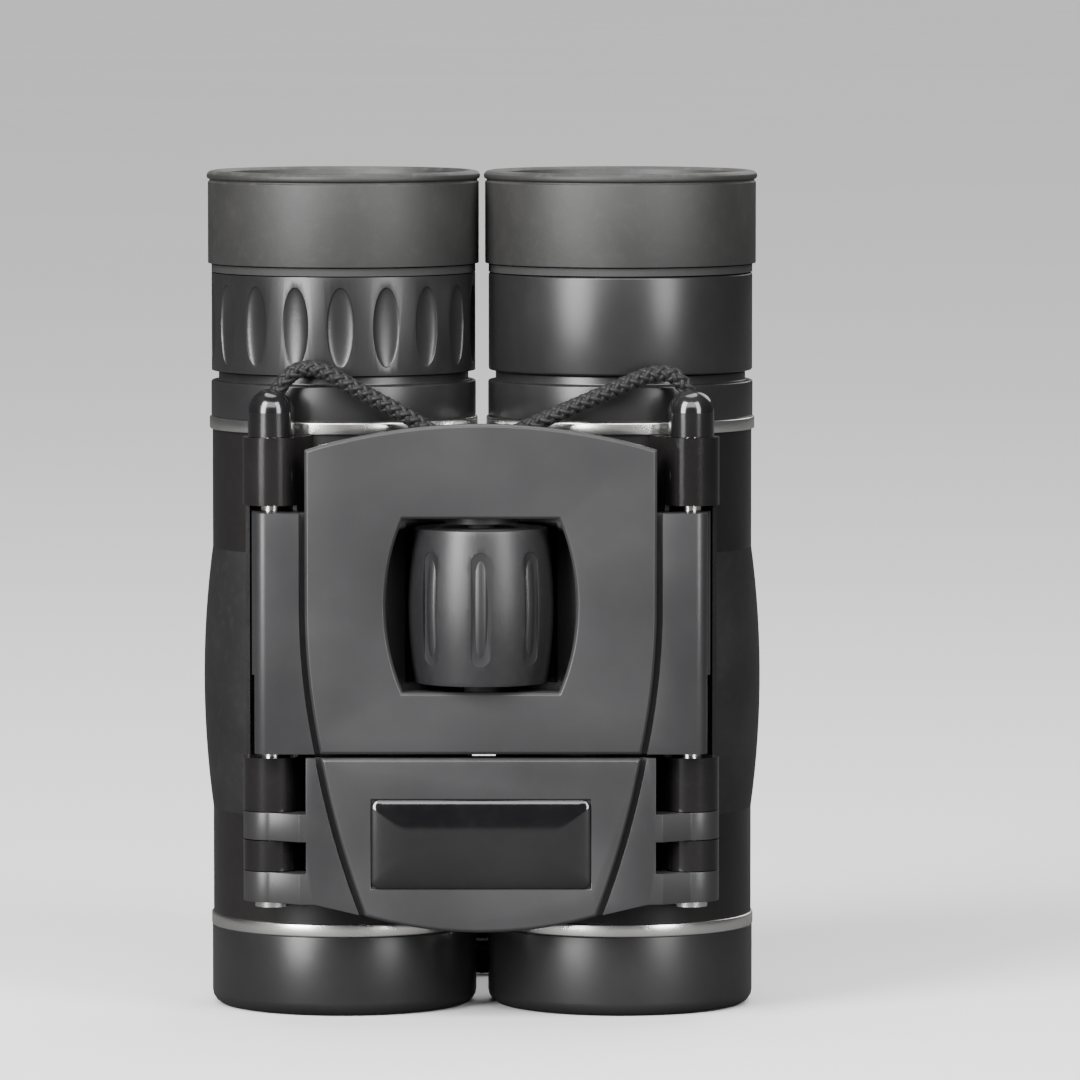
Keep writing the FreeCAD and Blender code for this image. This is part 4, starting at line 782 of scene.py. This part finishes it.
for name, node, body, slot, width, smooth in (
    ("dioptre_sleeve", "right_diopter_ring", "right_diopter_dial", "ring_black", 0.07, CRISP_LIMIT),
    ("upper_plate_skin", "upper_cover_plate", "bridge", "plate_black", 0.28, SMOOTH_LIMIT),
    ("lower_plate_skin", "lower_cover_plate", "bridge", "plate_black", 0.28, SMOOTH_LIMIT),
    ("upper_frame_body", "upper_bridge_frame", "bridge", "bridge_black", 0.25, SMOOTH_LIMIT),
    ("lower_frame_body", "lower_bridge_frame", "bridge", "bridge_black", 0.25, SMOOTH_LIMIT),
    ("wheel_tread", "focus_wheel_tyre", "focus_wheel", "wheel_rubber", 0.07, CRISP_LIMIT),
):
    finish_piece(softened(name, node, width, smooth), body, slot, node)


# ---------------------------------------------------------------- ribs in the wheel's slots

RIB_HALF_WIDTH = 0.78
RIB_HALF_DEPTH = 0.42
RIB_HALF_LENGTH = 6.05
RIB_SUNK = 0.10
RIB_COUNT = 8
RIB_CUTS = 9
WHEEL_CROWN = 0.8


def stretch_rib(rib):
    """Draws the ball's two halves apart into a long rib."""
    for vertex in rib.data.vertices:
        way = 1 if vertex.co.z > 0 else -1
        if abs(vertex.co.z) > RIB_HALF_WIDTH * MM * 0.05:
            vertex.co.z += way * (RIB_HALF_LENGTH - RIB_HALF_WIDTH) * MM


def one_rib(rim, half_tall):
    """A long rounded rib, cut across in steps and laid on the wheel's crown at the front."""
    bpy.ops.object.select_all(action="DESELECT")
    bpy.ops.mesh.primitive_uv_sphere_add(segments=24, ring_count=16, radius=1)
    rib = bpy.context.object
    edit(rib)
    size = (RIB_HALF_WIDTH * MM, RIB_HALF_DEPTH * MM, RIB_HALF_WIDTH * MM)
    bpy.ops.transform.resize(value=size, center_override=(0, 0, 0))
    bpy.ops.object.mode_set(mode="OBJECT")
    stretch_rib(rib)
    edit(rib)
    bpy.ops.mesh.select_all(action="DESELECT")
    bpy.ops.object.mode_set(mode="OBJECT")
    for edge in rib.data.edges:
        ends = [rib.data.vertices[i].co.z for i in edge.vertices]
        edge.select = abs(ends[0] - ends[1]) > RIB_HALF_LENGTH * MM * 0.5
    bpy.ops.object.mode_set(mode="EDIT")
    bpy.ops.mesh.select_mode(type="EDGE")
    bpy.ops.mesh.subdivide(number_cuts=RIB_CUTS)
    bpy.ops.mesh.select_mode(type="VERT")
    bpy.ops.object.mode_set(mode="OBJECT")
    for vertex in rib.data.vertices:
        fall = WHEEL_CROWN * MM * (vertex.co.z / half_tall) ** 2
        vertex.co.y -= rim - (RIB_HALF_DEPTH + RIB_SUNK) * MM - fall
    return rib


def wheel_ribs():
    """A rounded rib lies in each slot of the tread and follows the wheel's crown."""
    low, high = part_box("focus_wheel_tyre")
    x, y = middle_of("focus_wheel_tyre")
    ribs = [one_rib((high.x - low.x) / 2, (high.z - low.z) / 2)]
    for number in range(1, RIB_COUNT):
        rib = bpy.data.objects.new(f"wheel_rib_{number}", ribs[0].data.copy())
        SCENE.collection.objects.link(rib)
        ribs.append(rib)
    bpy.ops.object.select_all(action="DESELECT")
    for number, rib in enumerate(ribs):
        rib.rotation_euler = (0, 0, 2 * math.pi * number / RIB_COUNT)
        rib.location = (x, y, (low.z + high.z) / 2)
        rib.select_set(True)
    bpy.context.view_layer.objects.active = ribs[0]
    bpy.ops.object.transform_apply(location=True, rotation=True, scale=True)
    bpy.ops.object.join()
    bpy.ops.object.shade_smooth()
    ribs[0].name = "wheel_ribs"
    return ribs[0]


finish_piece(wheel_ribs(), "focus_wheel", "wheel_rubber")


# ---------------------------------------------------------------- label


LABEL_CORNER = 0.9
LABEL_CORNER_STEPS = 6
LABEL_WALL = 0.35
LABEL_SLOPE = 4.2
LABEL_STEPS = 12


def label_dome():
    """Clear resin poured over a small black plate: its skin swells from a rounded rim."""
    low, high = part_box("label_plate")
    bpy.ops.object.select_all(action="DESELECT")
    bpy.ops.mesh.primitive_plane_add(
        size=1, location=(0, high.y, (low.z + high.z) / 2), rotation=(math.pi / 2, 0, 0)
    )
    piece = bpy.context.object
    piece.name = "label_dome"
    piece.scale = (high.x - low.x, high.z - low.z, 1)
    bpy.ops.object.transform_apply(location=True, rotation=True, scale=True)
    centre = (0, high.y, (low.z + high.z) / 2)
    edit(piece)
    bpy.ops.mesh.bevel(offset=LABEL_CORNER * MM, segments=LABEL_CORNER_STEPS, affect="VERTICES")
    bpy.ops.mesh.select_all(action="SELECT")
    wall = (high.y - low.y) * LABEL_WALL
    swell = high.y - low.y - wall
    bpy.ops.mesh.extrude_region_move(TRANSFORM_OT_translate={"value": (0, -wall, 0)})
    half_width = (high.x - low.x) / 2
    half_height = (high.z - low.z) / 2
    reached = 0.0
    quarter = math.pi / 2
    for step in range(1, LABEL_STEPS + 1):
        turn = quarter * step / LABEL_STEPS
        inward = LABEL_SLOPE * MM * (1 - math.cos(turn))
        rise = swell * (math.sin(turn) - math.sin(turn - quarter / LABEL_STEPS))
        wide = (half_width - inward) / (half_width - reached)
        tall = (half_height - inward) / (half_height - reached)
        bpy.ops.mesh.extrude_region_move(TRANSFORM_OT_translate={"value": (0, -rise, 0)})
        bpy.ops.transform.resize(value=(wide, 1, tall), center_override=centre)
        reached = inward
    bpy.ops.mesh.select_all(action="SELECT")
    bpy.ops.mesh.normals_make_consistent(inside=False)
    bpy.ops.object.mode_set(mode="OBJECT")
    bpy.ops.object.shade_smooth()
    return piece


finish_piece(label_dome(), "bridge", "label_gloss", "label_plate")


# ---------------------------------------------------------------- room and light


FLOOR_SIZE = 60
FLOOR_CLOUDS = 3.0
FLOOR_BOUNCE = (0.07, 0.07, 0.07, 1)
ROOM_GLOW = (0.10, 0.10, 0.105, 1)
ROOM_SEEN = (0.8, 0.82, 0.84, 1)
ROOM_STRENGTH = 0.8
LAMPS_AIM = (0, 0, 0.05)
SOFTBOXES = (
    ("left_softbox", (-0.52, -0.64, 0.44), 0.34, 0.9, 24),
    ("right_softbox", (0.56, -0.68, 0.46), 0.30, 0.9, 12),
    ("front_strip", (0.0, -0.86, 0.78), 0.9, 0.5, 8),
)
SUNS = (("overhead", 2.0, 12, 180), ("rear_fill", 0.9, 58, 155))
SUN_SPREAD = 40


def lay_floor():
    """A pale matt board, which throws little light back on the object."""
    bpy.ops.object.select_all(action="DESELECT")
    bpy.ops.mesh.primitive_plane_add(size=FLOOR_SIZE, location=(0, 0, cad_low.z))
    floor = bpy.context.object
    floor.name = "floor"
    material, tree, shader, vector = open_material("pale_board")
    clouds = noise(tree, vector, FLOOR_CLOUDS, 3.0)
    pale = mixed(tree, clouds, (0.80, 0.80, 0.80, 1), (0.86, 0.86, 0.85, 1))
    seen = tree.nodes.new("ShaderNodeLightPath").outputs["Is Camera Ray"]
    tree.links.new(mixed(tree, seen, FLOOR_BOUNCE, pale), shader.inputs["Base Color"])
    shader.inputs["Roughness"].default_value = 0.8
    floor.data.materials.append(material)


def softbox(name, place, wide, tall, power):
    """A rectangular lamp turned towards the object."""
    lamp = bpy.data.lights.new(name, "AREA")
    lamp.shape = "RECTANGLE"
    lamp.size = wide
    lamp.size_y = tall
    lamp.energy = power
    box = bpy.data.objects.new(name, lamp)
    SCENE.collection.objects.link(box)
    box.location = place
    towards = Vector(LAMPS_AIM) - Vector(place)
    box.rotation_euler = towards.to_track_quat("-Z", "Y").to_euler()


def soft_sun(name, strength, tilt, turn):
    """Even light over the whole floor, from high up or from behind."""
    sun = bpy.data.objects.new(name, bpy.data.lights.new(name, "SUN"))
    sun.data.energy = strength
    sun.data.angle = math.radians(SUN_SPREAD)
    sun.rotation_euler = (math.radians(tilt), 0, math.radians(turn))
    SCENE.collection.objects.link(sun)


def light_room():
    """Two tall softboxes stand to the sides, with a strip over the camera and a pale room."""
    for lamp in SOFTBOXES:
        softbox(*lamp)
    for sun in SUNS:
        soft_sun(*sun)
    world = bpy.data.worlds.new("room")
    world.use_nodes = True
    tree = world.node_tree
    sky = tree.nodes["Background"]
    seen = tree.nodes.new("ShaderNodeLightPath").outputs["Is Camera Ray"]
    tree.links.new(mixed(tree, seen, ROOM_GLOW, ROOM_SEEN), sky.inputs["Color"])
    sky.inputs["Strength"].default_value = ROOM_STRENGTH
    SCENE.world = world


lay_floor()
light_room()
